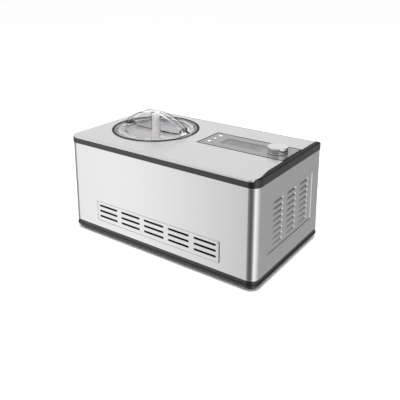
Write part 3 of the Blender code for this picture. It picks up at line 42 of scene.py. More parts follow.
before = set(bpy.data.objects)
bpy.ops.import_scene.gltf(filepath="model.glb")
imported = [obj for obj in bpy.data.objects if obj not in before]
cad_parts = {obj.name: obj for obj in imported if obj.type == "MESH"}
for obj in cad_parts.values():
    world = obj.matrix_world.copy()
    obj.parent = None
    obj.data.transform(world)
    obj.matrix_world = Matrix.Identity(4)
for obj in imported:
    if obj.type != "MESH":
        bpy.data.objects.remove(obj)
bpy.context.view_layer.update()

CASING_LOW, CASING_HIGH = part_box("casing_shell")
TRAY_LOW, TRAY_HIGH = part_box("base_tray")
RAIL_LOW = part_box("top_frame")[0]
PAN_LOW, PAN_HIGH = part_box("top_plate")
RING_LOW, RING_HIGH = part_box("opening_bezel")
LID_LOW, LID_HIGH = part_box("lid")
SEAL_LOW, SEAL_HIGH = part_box("lid_seal")
BOWL_LOW, BOWL_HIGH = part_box("bowl")
PADDLE_LOW, PADDLE_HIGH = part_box("paddle")
WINDOW_LOW, WINDOW_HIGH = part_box("control_window")
CARRIER_LOW, CARRIER_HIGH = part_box("window_carrier")
DISPLAY_LOW, DISPLAY_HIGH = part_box("display")
KNOB_LOW, KNOB_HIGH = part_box("knob")

TOP = PAN_HIGH.z
FRONT = CASING_LOW.y
RIGHT = CASING_HIGH.x
BOWL_X = (RING_LOW.x + RING_HIGH.x) / 2
BOWL_Y = (RING_LOW.y + RING_HIGH.y) / 2
BOWL_AXIS = (BOWL_X, BOWL_Y)

FINE = 96                # points round a turned piece
GAP = 0.0003             # clearance between two pieces
CLEAR = 0.01             # how far a cutter reaches past what it cuts
VENT_CORNER = 0.0035     # corner radius of the front vent panel
LOUVRE_TOP = 0.0034      # a louvre's upper and lower edge, from its middle
LOUVRE_FOOT = -0.0040
LOUVRE_LIP = 0.0004      # height over which a louvre's upper edge turns in
PANEL_SINK = 0.0012      # how far the side panel is pressed in
PANEL_EDGE = 0.0022      # width of its rounded edge
CHIMNEY_HEIGHT = 0.100   # height of the bowl's chimney, which the paddle's sleeve covers
KEY_RADIUS = 0.0038


# ------------------------------------------------------------------ sizes and colours

class WrapSettings(bpy.types.PropertyGroup):
    """Steel wrap with its front slots and its side louvres."""
    corner: FloatProperty(name="Corner radius", description="Radius of the upright corners",
                          default=0.0176, unit="LENGTH")
    wall: FloatProperty(name="Wall", description="Thickness of the steel", default=0.0015,
                        unit="LENGTH")
    slot_columns: IntProperty(name="Slot columns", description="Slots side by side in front",
                              default=5)
    slot_rows: IntProperty(name="Slot rows", description="Slots one above another in front",
                           default=3)
    slot_length: FloatProperty(name="Slot length", description="Length of a front slot",
                               default=0.0468, unit="LENGTH")
    slot_height: FloatProperty(name="Slot height", description="Height of a front slot",
                               default=0.0047, unit="LENGTH")
    slot_pitch: FloatProperty(name="Slot pitch", description="Spacing of the slot columns",
                              default=0.0567, unit="LENGTH")
    row_pitch: FloatProperty(name="Row pitch", description="Spacing of the rows",
                             default=0.0109, unit="LENGTH")
    slots_above_base: FloatProperty(name="Slots above base", default=0.0352, unit="LENGTH",
                                    description="Height of the middle slot row in the wrap")
    louvre_columns: IntProperty(name="Louvre columns", description="Louvres side by side",
                                default=3)
    louvre_rows: IntProperty(name="Louvre rows", description="Louvres one above another",
                             default=8)
    louvre_length: FloatProperty(name="Louvre length", description="Length of a louvre",
                                 default=0.0370, unit="LENGTH")
    louvre_pitch: FloatProperty(name="Louvre pitch", description="Spacing of the columns",
                                default=0.0495, unit="LENGTH")
    louvre_depth: FloatProperty(name="Louvre depth", description="How far a louvre is pressed in",
                                default=0.0032, unit="LENGTH")
    louvres_above_base: FloatProperty(name="Louvres above base", default=0.0797, unit="LENGTH",
                                      description="Height of the louvres' middle in the wrap")
    colour: FloatVectorProperty(name="Steel", description="Colour of the brushed steel",
                                default=(0.70, 0.70, 0.705), subtype="COLOR")
    brush_roughness: FloatProperty(name="Brushing", description="Roughness of the brushed steel",
                                   default=0.23, min=0.0, max=1.0)
    face_inset: FloatProperty(name="Face inset", default=0.0009, unit="LENGTH",
                              description="How far the steel lies inside the black rail and tray")


class TopSettings(bpy.types.PropertyGroup):
    """Steel top pan and the black rail round it."""
    lip: FloatProperty(name="Lip", description="Depth of the pan's turned-down rim",
                       default=0.0048, unit="LENGTH")
    roll: FloatProperty(name="Roll", description="Width of the pan's rounded edge",
                        default=0.0066, unit="LENGTH")
    right_edge: FloatProperty(name="Right edge", default=0.0090, unit="LENGTH",
                              description="Distance of the pan's right edge from the wrap's side")
    nose_length: FloatProperty(name="Nose length", default=0.045, unit="LENGTH",
                               description="Length over which the pan's right edge steps in")
    rim: FloatProperty(name="Rim", description="Width of the black rail", default=0.014,
                       unit="LENGTH")
    slope_drop: FloatProperty(name="Rear slope", default=0.0085, unit="LENGTH",
                              description="How far the rail's rear edge falls")


class LidSettings(bpy.types.PropertyGroup):
    """Clear lid with a sunk dish and an arched grip."""
    wall: FloatProperty(name="Wall", description="Thickness of the lid", default=0.0022,
                        unit="LENGTH")
    dish_radius: FloatProperty(name="Dish radius", description="Radius of the sunk dish",
                               default=0.0620, unit="LENGTH")
    dish_depth: FloatProperty(name="Dish depth", description="Depth of the dish below the top",
                              default=0.0055, unit="LENGTH")
    grip_width: FloatProperty(name="Grip width", description="Width of the grip at its middle",
                              default=0.0170, unit="LENGTH")
    grip_end_width: FloatProperty(name="Grip end width", default=0.0250, unit="LENGTH",
                                  description="Width of the grip at its ends")
    tint: FloatVectorProperty(name="Tint", description="Tint of the clear plastic",
                              default=(0.95, 0.945, 0.95), subtype="COLOR")


class PanelSettings(bpy.types.PropertyGroup):
    """Control window, display, touch keys and knob."""
    window: FloatVectorProperty(name="Window", description="Colour of the glossy window",
                                default=(0.105, 0.102, 0.105), subtype="COLOR")
    display: FloatVectorProperty(name="Display", description="Colour of the unlit display",
                                 default=(0.055, 0.055, 0.057), subtype="COLOR")
    mark: FloatVectorProperty(name="Marks", description="Colour of the key symbols",
                              default=(0.90, 0.90, 0.90), subtype="COLOR")
    mark_reach: FloatProperty(name="Mark size", description="Half width of a key symbol",
                              default=0.0036, unit="LENGTH")


class PlasticSettings(bpy.types.PropertyGroup):
    """Moulded plastics."""
    black: FloatVectorProperty(name="Black", description="Colour of the black plastic",
                               default=(0.005, 0.0045, 0.005), subtype="COLOR")
    white: FloatVectorProperty(name="White", description="Colour of the paddle",
                               default=(0.88, 0.88, 0.87), subtype="COLOR")


class StageSettings(bpy.types.PropertyGroup):
    """Floor, light and camera."""
    fill: FloatProperty(name="Fill", description="Strength of the even light", default=1.05)
    key: FloatProperty(name="Key", description="Power of the overhead soft light", default=24.0,
                       unit="POWER")
    azimuth: FloatProperty(name="Azimuth", description="Camera's turn to the right of the front",
                           default=math.radians(35.4), subtype="ANGLE")
    elevation: FloatProperty(name="Elevation", description="Camera's height angle",
                             default=math.radians(14.85), subtype="ANGLE")
    distance: FloatProperty(name="Distance", description="Camera's distance from its target",
                            default=1.0385, unit="LENGTH")
    lens: FloatProperty(name="Lens", description="Focal length in millimetres", default=49.19)
    shift: FloatProperty(name="Shift", description="Lens shift that lessens the uprights' slant",
                         default=-0.225)


# ------------------------------------------------------------------ outlines

def circle(radius, count=FINE, centre=(0.0, 0.0)):
    """Points round a circle, anticlockwise."""
    return [(centre[0] + radius * math.cos(2 * math.pi * step / count),
             centre[1] + radius * math.sin(2 * math.pi * step / count)) for step in range(count)]


def arc(centre, radius, start, end, steps):
    """Points along an arc, angles in degrees."""
    points = []
    for step in range(steps + 1):
        angle = math.radians(start + (end - start) * step / steps)
        points.append((centre[0] + radius * math.cos(angle), centre[1] + radius * math.sin(angle)))
    return points


def rounded(width, depth, radius, centre=(0.0, 0.0), steps=12):
    """Outline of a rounded rectangle, anticlockwise from its right rear corner."""
    points = []
    for corner, (side_x, side_y) in enumerate(((1, 1), (-1, 1), (-1, -1), (1, -1))):
        middle = (centre[0] + side_x * (width / 2 - radius), centre[1] + side_y * (depth / 2 - radius))
        points += arc(middle, radius, 90 * corner, 90 * corner + 90, steps)
    return points


def housing(inset, steps=14):
    """Outline of the housing, moved in by an inset."""
    corner = bpy.context.scene.icm_wrap.corner
    return rounded(CASING_HIGH.x - CASING_LOW.x - 2 * inset, CASING_HIGH.y - CASING_LOW.y - 2 * inset,
                   max(corner - inset, 0.002), steps=steps)


def softened(points, radius, steps=3):
    """A closed profile with its corners rounded off, each by no more than its edges allow."""
    result = []
    count = len(points)
    for index, point in enumerate(points):
        here = Vector(point)
        before = Vector(points[index - 1]) - here
        after = Vector(points[(index + 1) % count]) - here
        reach = min(radius, before.length * 0.45, after.length * 0.45)
        if here.x < 1e-6:
            result.append(tuple(here))
            continue
        start = here + before.normalized() * reach
        end = here + after.normalized() * reach
        for step in range(steps + 1):
            share = step / steps
            spot = start * (1 - share) ** 2 + here * 2 * share * (1 - share) + end * share ** 2
            result.append(tuple(spot))
    return result


def at_level(outline, level):
    """A flat outline, laid at a height."""
    return [(x, y, level) for x, y in outline]


def upright(outline, depth):
    """An outline across and up, stood behind the wrap's front."""
    return [(x, FRONT + depth, z) for x, z in outline]


def middle_of(low, high):
    """Middle of a box, seen from above."""
    return ((low.x + high.x) / 2, (low.y + high.y) / 2)


# ------------------------------------------------------------------ mesh building

def link(name, shape, finishes, sharp=35):
    """Turn a finished shape into a smooth-shaded object."""
    mesh = bpy.data.meshes.new(name)
    shape.to_mesh(mesh)
    shape.free()
    for finish in finishes:
        mesh.materials.append(finish)
    mesh.shade_smooth()
    mesh.set_sharp_from_angle(angle=math.radians(sharp))
    piece = bpy.data.objects.new(name, mesh)
    bpy.context.scene.collection.objects.link(piece)
    return piece


def loft(name, rings, finish, closed=False, sharp=35):
    """A solid through rings of equally many points, capped or closed on itself."""
    shape = bmesh.new()
    rows = [[shape.verts.new(point) for point in ring] for ring in rings]
    pairs = list(zip(rows[:-1], rows[1:]))
    if closed:
        pairs.append((rows[-1], rows[0]))
    for lower, upper in pairs:
        bridge(shape, lower, upper)
    if not closed:
        shape.faces.new(rows[0])
        shape.faces.new(rows[-1])
    bmesh.ops.recalc_face_normals(shape, faces=shape.faces)
    return link(name, shape, [finish], sharp)


def bridge(shape, lower, upper):
    """Quads between two rows of equally many corners."""
    for index in range(len(lower)):
        after = (index + 1) % len(lower)
        shape.faces.new((lower[index], lower[after], upper[after], upper[index]))


def turned(name, profile, finish, centre=BOWL_AXIS, count=FINE, sharp=35):
    """A solid turned about an upright axis; its profile may start and end on the axis."""
    shape = bmesh.new()
    columns = []
    for radius, level in profile:
        if radius < 1e-6:
            columns.append([shape.verts.new((*centre, level))])
            continue
        columns.append([shape.verts.new((x, y, level)) for x, y in circle(radius, count, centre)])
    for first, second in zip(columns, columns[1:] + columns[:1]):
        if len(first) == 1 and len(second) == 1:
            continue
        if len(first) > 1 and len(second) > 1:
            bridge(shape, first, second)
            continue
        rim = second if len(first) == 1 else first
        tip = first[0] if len(first) == 1 else second[0]
        for index in range(count):
            shape.faces.new((tip, rim[(index + 1) % count], rim[index]))
    bmesh.ops.recalc_face_normals(shape, faces=shape.faces)
    return link(name, shape, [finish], sharp)


def plate(name, outline, holes, low, high, finish, sharp=35):
    """A flat piece with through holes."""
    shape = bmesh.new()
    edges = []
    for loop in [outline] + list(holes):
        corners = [shape.verts.new((x, y, low)) for x, y in loop]
        for index, corner in enumerate(corners):
            edges.append(shape.edges.new((corner, corners[(index + 1) % len(corners)])))
    bmesh.ops.triangle_fill(shape, use_beauty=True, edges=edges)
    raised = bmesh.ops.extrude_face_region(shape, geom=shape.faces[:], use_keep_orig=True)
    lifted = [item for item in raised["geom"] if isinstance(item, bmesh.types.BMVert)]
    bmesh.ops.translate(shape, verts=lifted, vec=(0, 0, high - low))
    bmesh.ops.recalc_face_normals(shape, faces=shape.faces)
    return link(name, shape, [finish], sharp)


def box_tool(name, low, high):
    """A plain cutter between two corners."""
    shape = bmesh.new()
    low = Vector(low)
    high = Vector(high)
    matrix = Matrix.Translation((low + high) / 2) @ Matrix.Diagonal((*(high - low), 1.0))
    bmesh.ops.create_cube(shape, size=1.0, matrix=matrix)
    return link(name, shape, [])


def carve(piece, tool, operation="DIFFERENCE", sharp=35):
    """Cut a tool from a piece or join it on, and keep only the result."""
    step = piece.modifiers.new("carve", "BOOLEAN")
    step.operation = operation
    step.object = tool
    step.solver = "EXACT"
    graph = bpy.context.evaluated_depsgraph_get()
    result = bpy.data.meshes.new_from_object(piece.evaluated_get(graph))
    if not result.polygons:
        raise RuntimeError("carving left nothing of " + piece.name)
    piece.modifiers.clear()
    spare = piece.data
    piece.data = result
    bpy.data.meshes.remove(spare)
    bpy.data.objects.remove(tool, do_unlink=True)
    piece.data.shade_smooth()
    piece.data.set_sharp_from_angle(angle=math.radians(sharp))


def edge_round(piece, width, degrees):
    """Round the edges sharper than an angle and keep the flats flat."""
    bevel = piece.modifiers.new("edges", "BEVEL")
    bevel.width = width
    bevel.segments = 2
    bevel.limit_method = "ANGLE"
    bevel.angle_limit = math.radians(degrees)
    bevel.harden_normals = False
    flatten(piece)


def flatten(piece):
    """Let the large faces set the shading, so that they look flat."""
    weights = piece.modifiers.new("flats", "WEIGHTED_NORMAL")
    weights.mode = "FACE_AREA"
    weights.weight = 80
    weights.keep_sharp = True


def settle(piece, body, slot, *nodes):
    """Hang a piece on its body, and let it stand for its plain nodes."""
    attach(piece, body)
    if nodes:
        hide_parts(*nodes)


# ------------------------------------------------------------------ finishes

def new_finish(name):
    """A finish that holds only its shader; asked for again, it starts afresh for all its users."""
    finish = bpy.data.materials.get(name) or bpy.data.materials.new(name)
    finish.use_nodes = True
    tree = finish.node_tree
    tree.nodes.clear()
    shader = tree.nodes.new("ShaderNodeBsdfPrincipled")
    output = tree.nodes.new("ShaderNodeOutputMaterial")
    tree.links.new(shader.outputs["BSDF"], output.inputs["Surface"])
    return finish, tree, shader


def shader_of(finish):
    return next(node for node in finish.node_tree.nodes if node.type == "BSDF_PRINCIPLED")


def set_inputs(node, **values):
    """Set a node's inputs by name, with an underscore for each space."""
    for name, value in values.items():
        node.inputs[name.replace("_", " ")].default_value = value


def add_node(tree, kind, **values):
    """A new node with some of its inputs set."""
    node = tree.nodes.new("ShaderNode" + kind)
    set_inputs(node, **values)
    return node


def pattern(tree, kind, stretch=(1.0, 1.0, 1.0), shift=(0.0, 0.0, 0.0), **values):
    """A texture in the piece's own space, shifted and then stretched along each axis."""
    place = add_node(tree, "TexCoord")
    lay = add_node(tree, "Mapping", Location=shift, Scale=stretch)
    texture = add_node(tree, kind, **values)
    tree.links.new(place.outputs["Object"], lay.inputs["Vector"])
    tree.links.new(lay.outputs["Vector"], texture.inputs["Vector"])
    return texture


def stretched_noise(tree, stretch, detail=2.0):
    """Noise, stretched differently along each axis."""
    return pattern(tree, "TexNoise", stretch, Scale=1.0, Detail=detail).outputs["Fac"]


def colour_spread(tree, shader, source, dark, light, low=0.3, high=0.7):
    """Colour that runs between two shades as a pattern does."""
    ramp = add_node(tree, "ValToRGB")
    for element, position, shade in zip(ramp.color_ramp.elements, (low, high), (dark, light)):
        element.position = position
        element.color = (*shade, 1.0)
    tree.links.new(source, ramp.inputs["Fac"])
    tree.links.new(ramp.outputs["Color"], shader.inputs["Base Color"])


def roughness_spread(tree, shader, source, smooth, rough):
    """Roughness that runs between two values as a pattern does."""
    spread = add_node(tree, "MapRange", From_Min=0.3, From_Max=0.7, To_Min=smooth, To_Max=rough)
    tree.links.new(source, spread.inputs["Value"])
    tree.links.new(spread.outputs["Result"], shader.inputs["Roughness"])


def relief(tree, shader, source, strength, height):
    """Surface relief from a pattern."""
    bump = add_node(tree, "Bump", Strength=strength, Distance=height)
    tree.links.new(source, bump.inputs["Height"])
    tree.links.new(bump.outputs["Normal"], shader.inputs["Normal"])


def shades(colour, spread):
    """A darker and a lighter shade of a colour."""
    return [value * (1 - spread) for value in colour], [min(value * (1 + spread), 1.0) for value in colour]


def brushed(name, colour, roughness, stretch):
    """Brushed metal whose lines run along the axes that are stretched least."""
    finish, tree, shader = new_finish(name)
    lines = stretched_noise(tree, stretch, 1.0)
    dark, light = shades(colour, 0.013)
    colour_spread(tree, shader, lines, dark, light)
    roughness_spread(tree, shader, lines, roughness - 0.015, roughness + 0.02)
    set_inputs(shader, Metallic=1.0)
    return finish


def ringed(name, colour, roughness, centre):
    """Metal turned on a lathe, with fine rings about an upright axis."""
    finish, tree, shader = new_finish(name)
    rings = pattern(tree, "TexWave", shift=(-centre[0], -centre[1], 0.0), Scale=260.0, Distortion=1.5,
                    Detail=3.0, Detail_Scale=4.0)
    rings.wave_type = "RINGS"
    rings.rings_direction = "Z"
    lines = rings.outputs["Fac"]
    dark, light = shades(colour, 0.04)
    colour_spread(tree, shader, lines, dark, light)
    roughness_spread(tree, shader, lines, roughness - 0.03, roughness + 0.04)
    relief(tree, shader, lines, 0.04, 0.0001)
    set_inputs(shader, Metallic=1.0)
    return finish


def moulded(name, colour, roughness, grain=700.0, depth=0.12, spread=0.18):
    """Moulded plastic, rubber or enamel with a fine grain."""
    finish, tree, shader = new_finish(name)
    grains = stretched_noise(tree, (grain, grain, grain), 3.0)
    dark, light = shades(colour, spread)
    colour_spread(tree, shader, grains, dark, light)
    roughness_spread(tree, shader, grains, roughness - 0.05, roughness + 0.07)
    relief(tree, shader, grains, depth, 0.0002)
    return finish


def plain_metal(name, colour, roughness):
    """Drawn or cast metal with a faint mottle."""
    finish, tree, shader = new_finish(name)
    mottle = stretched_noise(tree, (160.0, 160.0, 160.0), 3.0)
    dark, light = shades(colour, 0.07)
    colour_spread(tree, shader, mottle, dark, light)
    roughness_spread(tree, shader, mottle, roughness - 0.04, roughness + 0.06)
    set_inputs(shader, Metallic=1.0)
    return finish


def black_plastic():
    """Glossy black plastic of the upright rails."""
    finish = moulded("black_moulding", tuple(bpy.context.scene.icm_plastic.black), 0.25, 650.0, 0.06)
    set_inputs(shader_of(finish), IOR=1.62)
    return finish


def matt_black():
    """Black plastic with a matt face, for trims that lie flat."""
    finish = moulded("matt_black_moulding", tuple(bpy.context.scene.icm_plastic.black), 0.5, 650.0, 0.06)
    set_inputs(shader_of(finish), Specular_IOR_Level=0.22)
    return finish


def board_finish():
    """Green lacquered board with tracks and pads."""
    finish, tree, shader = new_finish("lacquered_board")
    tracks = pattern(tree, "TexBrick", Scale=90.0, Color1=(0.02, 0.16, 0.06, 1.0),
                     Color2=(0.03, 0.20, 0.08, 1.0), Mortar=(0.10, 0.34, 0.15, 1.0), Mortar_Size=0.06)
    tree.links.new(tracks.outputs["Color"], shader.inputs["Base Color"])
    relief(tree, shader, tracks.outputs["Fac"], 0.2, 0.0002)
    set_inputs(shader, Roughness=0.32)
    return finish


def foam_finish():
    """Rigid foam with open cells."""
    finish, tree, shader = new_finish("rigid_foam")
    cells = pattern(tree, "TexVoronoi", Scale=420.0).outputs["Distance"]
    colour_spread(tree, shader, cells, (0.55, 0.50, 0.36), (0.80, 0.76, 0.60), 0.1, 0.6)
    relief(tree, shader, cells, 0.5, 0.0008)
    set_inputs(shader, Roughness=0.9)
    return finish


def clear_finish(name, tint):
    """Clear plastic with a faint unevenness in its surface."""
    finish, tree, shader = new_finish(name)
    waviness = stretched_noise(tree, (45.0, 45.0, 45.0), 1.0)
    dark, light = shades(tint, 0.02)
    colour_spread(tree, shader, waviness, dark, light)
    relief(tree, shader, waviness, 0.03, 0.0006)
    set_inputs(shader, Roughness=0.03, Transmission_Weight=1.0, IOR=1.30)
    return finish


def assign(names, finish):
    """Give packed nodes a finish."""
    for name in names:
        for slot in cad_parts[name].material_slots:
            slot.material = finish


def alike(start):
    """Names of the packed nodes that start alike."""
    return [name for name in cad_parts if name.startswith(start)]


# ------------------------------------------------------------------ steel wrap

def slot_centres(settings):
    """Middle of each front slot, across and up."""
    middle = CASING_LOW.z + settings.slots_above_base
    centres = []
    for row in range(settings.slot_rows):
        up = middle + (row - (settings.slot_rows - 1) / 2) * settings.row_pitch
        for column in range(settings.slot_columns):
            centres.append(((column - (settings.slot_columns - 1) / 2) * settings.slot_pitch, up))
    return centres


def vent_frame(settings):
    """Middle and size of the raised front panel."""
    middle = CASING_LOW.z + settings.slots_above_base - 0.0012
    width = (settings.slot_columns - 1) * settings.slot_pitch + settings.slot_length + 0.0145
    height = (settings.slot_rows - 1) * settings.row_pitch + settings.slot_height + 0.0150
    return (0.0, middle), width, height


def front_vent(settings, finish):
    """Raised front panel with slots right through it, each with a rolled edge."""
    centre, width, height = vent_frame(settings)
    shape = bmesh.new()
    rows = []
    rise = settings.face_inset
    for inset, depth in ((0.0, rise), (0.0004, rise * 0.94), (0.0010, rise * 0.5), (0.0016, rise * 0.06),
                         (0.0020, 0.0)):
        outline = rounded(width - 2 * inset, height - 2 * inset, VENT_CORNER, centre, 5)
        rows.append([shape.verts.new(point) for point in upright(outline, depth)])
    for outer, inner in zip(rows[:-1], rows[1:]):
        bridge(shape, outer, inner)
    loops = [rows[-1]]
    for place in slot_centres(settings):
        outline = rounded(settings.slot_length, settings.slot_height, 0.0017, place, 4)
        loops.append([shape.verts.new(point) for point in upright(outline, 0.0)])
    edges = []
    for loop in loops:
        for index, corner in enumerate(loop):
            after = loop[(index + 1) % len(loop)]
            known = shape.edges.get((corner, after))
            edges.append(known or shape.edges.new((corner, after)))
    bmesh.ops.triangle_fill(shape, use_beauty=True, edges=edges)
    for loop in loops[1:]:
        previous = loop
        for shrink, depth in ((0.0002, 0.0001), (0.0004, 0.0004), (0.0005, 0.0024)):
            middle = sum((corner.co for corner in loop), Vector()) / len(loop)
            ring = []
            for corner in loop:
                away = corner.co - middle
                step = Vector((math.copysign(min(shrink, abs(away.x)), away.x), 0.0,
                               math.copysign(min(shrink, abs(away.z)), away.z)))
                ring.append(shape.verts.new(corner.co - step + Vector((0, depth, 0))))
            bridge(shape, previous, ring)
            previous = ring
    face_towards(shape, Vector((0, -1, 0)))
    panel = link("front_vent_panel", shape, [finish], 50)
    flatten(panel)
    return panel


def face_towards(shape, direction):
    """Turn a sheet's faces so that most of it looks in a direction."""
    bmesh.ops.recalc_face_normals(shape, faces=shape.faces)
    total = sum((face.normal.dot(direction) * face.calc_area() for face in shape.faces), 0.0)
    if total < 0:
        bmesh.ops.reverse_faces(shape, faces=shape.faces)


def ease(share):
    """A smooth step from 0 to 1."""
    share = min(max(share, 0.0), 1.0)
    return share * share * (3 - 2 * share)


def louvre_field(settings):
    """Height of the middle and size of the pressed side panel."""
    middle = CASING_LOW.z + settings.louvres_above_base
    width = (settings.louvre_columns - 1) * settings.louvre_pitch + settings.louvre_length + 0.034
    height = (settings.louvre_rows - 1) * settings.row_pitch + 0.0195
    return middle, width, height


def louvre_depth(settings, run, rise):
    """How deep the side panel is pressed in at a point along the side and up."""
    middle, width, height = louvre_field(settings)
    edge = min(width / 2 - abs(run), height / 2 - abs(rise - middle))
    depth = PANEL_SINK * ease(edge / PANEL_EDGE)
    column = round(run / settings.louvre_pitch)
    column = max(-(settings.louvre_columns // 2), min(settings.louvre_columns // 2, column))
    along = abs(run - column * settings.louvre_pitch)
    row = round((rise - middle) / settings.row_pitch + (settings.louvre_rows - 1) / 2)
    row = max(0, min(settings.louvre_rows - 1, row))
    level = rise - middle - (row - (settings.louvre_rows - 1) / 2) * settings.row_pitch
    if along > settings.louvre_length / 2 or not LOUVRE_FOOT < level < LOUVRE_TOP:
        return depth
    end = ease((settings.louvre_length / 2 - along) / 0.0034)
    slope = (level - LOUVRE_FOOT) / (LOUVRE_TOP - LOUVRE_LIP - LOUVRE_FOOT)
    press = min(slope, 1.0) ** 1.3 * ease((LOUVRE_TOP - level) / LOUVRE_LIP)
    return depth + settings.louvre_depth * end * press


def side_louvres(settings, finish):
    """Side panel whose louvres are pressed into the steel."""
    middle, width, height = louvre_field(settings)
    rim = (0.0, 0.0005, 0.0010, 0.0016, PANEL_EDGE)
    half = settings.louvre_length / 2
    runs = set()
    rises = set()
    for inset in rim:
        runs.update((round(width / 2 - inset, 6), round(inset - width / 2, 6)))
        rises.update((round(middle + height / 2 - inset, 6), round(middle - height / 2 + inset, 6)))
    for column in range(settings.louvre_columns):
        centre = (column - (settings.louvre_columns - 1) / 2) * settings.louvre_pitch
        for inset in (-0.0002, 0.0, 0.0006, 0.0012, 0.0018, 0.0026, 0.0034, 0.012):
            runs.update((round(centre + half - inset, 6), round(centre - half + inset, 6)))
    for row in range(settings.louvre_rows):
        centre = middle + (row - (settings.louvre_rows - 1) / 2) * settings.row_pitch
        for level in (LOUVRE_TOP, LOUVRE_TOP - LOUVRE_LIP / 2, LOUVRE_TOP - LOUVRE_LIP, 0.0020, 0.0008,
                      -0.0006, -0.0020, -0.0032, LOUVRE_FOOT):
            rises.add(round(centre + level, 6))
    runs = sorted(runs)
    rises = sorted(rises)
    shape = bmesh.new()
    rows = []
    for rise in rises:
        rows.append([shape.verts.new((RIGHT - settings.face_inset - louvre_depth(settings, run, rise), run,
                                      rise)) for run in runs])
    for lower, upper in zip(rows[:-1], rows[1:]):
        for index in range(len(runs) - 1):
            shape.faces.new((lower[index], lower[index + 1], upper[index + 1], upper[index]))
    face_towards(shape, Vector((1, 0, 0)))
    return link("side_louvre_panel", shape, [finish], 60)


class ICM_OT_steel_wrap(bpy.types.Operator):
    """Build the brushed steel wrap with its front slots and its side louvres"""
    bl_idname = "icm.steel_wrap"
    bl_label = "Steel wrap"

    def execute(self, context):
        settings = context.scene.icm_wrap
        colour = tuple(settings.colour)
        steel = brushed("brushed_wrap_steel", colour, settings.brush_roughness, (3.0, 3.0, 1400.0))
        outer = housing(settings.face_inset)
        inner = housing(settings.face_inset + settings.wall)
        rings = [at_level(outline, level) for outline, level in (
            (outer, CASING_LOW.z), (outer, CASING_HIGH.z), (inner, CASING_HIGH.z), (inner, CASING_LOW.z))]
        wrap = loft("steel_wrap", rings, steel, closed=True)
        centre, width, height = vent_frame(settings)
        window = rounded(width, height, VENT_CORNER, centre, 5)
        carve(wrap, loft("vent_tool", [upright(window, depth) for depth in (-CLEAR, CLEAR)], steel))
        middle, width, height = louvre_field(settings)
        carve(wrap, box_tool("louvre_tool", (RIGHT - CLEAR, -width / 2, middle - height / 2),
                             (RIGHT + CLEAR, width / 2, middle + height / 2)))
        panel_low, panel_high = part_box("rear_panel")
        lap = 0.006
        carve(wrap, box_tool("rear_tool", (panel_low.x + lap, -FRONT - CLEAR, panel_low.z + lap),
                             (panel_high.x - lap, -FRONT + CLEAR, panel_high.z - lap)))
        flatten(wrap)
        settle(wrap, "housing", "brushed_steel", "casing_shell")
        settle(front_vent(settings, steel), "housing", "brushed_steel")
        settle(side_louvres(settings, steel), "housing", "brushed_steel")
        # Painted shade: a near-black sheet behind the front slots makes them look dark inside.
        self.slot_shade_sheet(settings)
        return {"FINISHED"}

    def slot_shade_sheet(self, settings):
        """Near-black sheet close behind the front slots, with a faint woven check: painted shade that stands
        in for the dark inside of the housing.
        """
        finish, tree, shader = new_finish("black_slot_shade_sheet")
        # Painted shade: almost black, with little reflection, so that the slots look dark inside.
        weave = pattern(tree, "TexChecker", Scale=1400.0, Color1=(0.004, 0.004, 0.004, 1.0),
                        Color2=(0.010, 0.010, 0.010, 1.0))
        tree.links.new(weave.outputs["Color"], shader.inputs["Base Color"])
        relief(tree, shader, weave.outputs["Fac"], 0.4, 0.0003)
        set_inputs(shader, Roughness=0.95, Specular_IOR_Level=0.1)
        centre, width, height = vent_frame(settings)
        outline = rounded(width, height, 0.004, centre, 4)
        screen = loft("front_slot_shade_sheet", [upright(outline, depth) for depth in (0.0040, 0.0046)], finish)
        settle(screen, "housing", "black_plastic")


# ------------------------------------------------------------------ steel top and black rail

def pan_outline(inset, right_inset, rear_inset=None, steps=12):
    """Outline of the steel top: it rounds the front right corner and then steps in."""
    settings = bpy.context.scene.icm_top
    corner = bpy.context.scene.icm_wrap.corner
    rear_inset = inset if rear_inset is None else rear_inset
    rear = PAN_HIGH.y
    chamfer = 0.002
    nose = 0.013
    right_edge = RIGHT - settings.right_edge
    right = right_edge - right_inset
    points = [(right, rear - rear_inset - chamfer), (right - chamfer, rear - rear_inset)]
    radius = corner - (PAN_LOW.x - CASING_LOW.x) - inset
    middle = (CASING_LOW.x + corner, rear - 0.012)
    for x, y in arc((0, 0), 1.0, 90, 180, steps):
        points.append((middle[0] + x * radius, middle[1] + y * (0.012 - rear_inset)))
    points += arc((CASING_LOW.x + corner, FRONT + corner), radius, 180, 270, steps)
    start = PAN_LOW.y + nose
    for x, y in arc((0, 0), 1.0, 270, 360, steps):
        points.append((PAN_HIGH.x - nose + x * (nose - right_inset), start + y * (nose - inset)))
    for step in range(1, 2 * steps):
        share = step / (2 * steps - 1)
        swing = (1 + math.cos(math.pi * share)) / 2
        points.append((right_edge + (PAN_HIGH.x - right_edge) * swing - right_inset,
                       start + share * settings.nose_length))
    return points


def window_notch(margin=GAP):
    """Corners of the notch that holds the control window."""
    return ((CARRIER_LOW.x - margin, CARRIER_LOW.y - margin, TOP - CLEAR),
            (RIGHT - bpy.context.scene.icm_top.right_edge + margin, CARRIER_HIGH.y + margin, TOP + CLEAR))


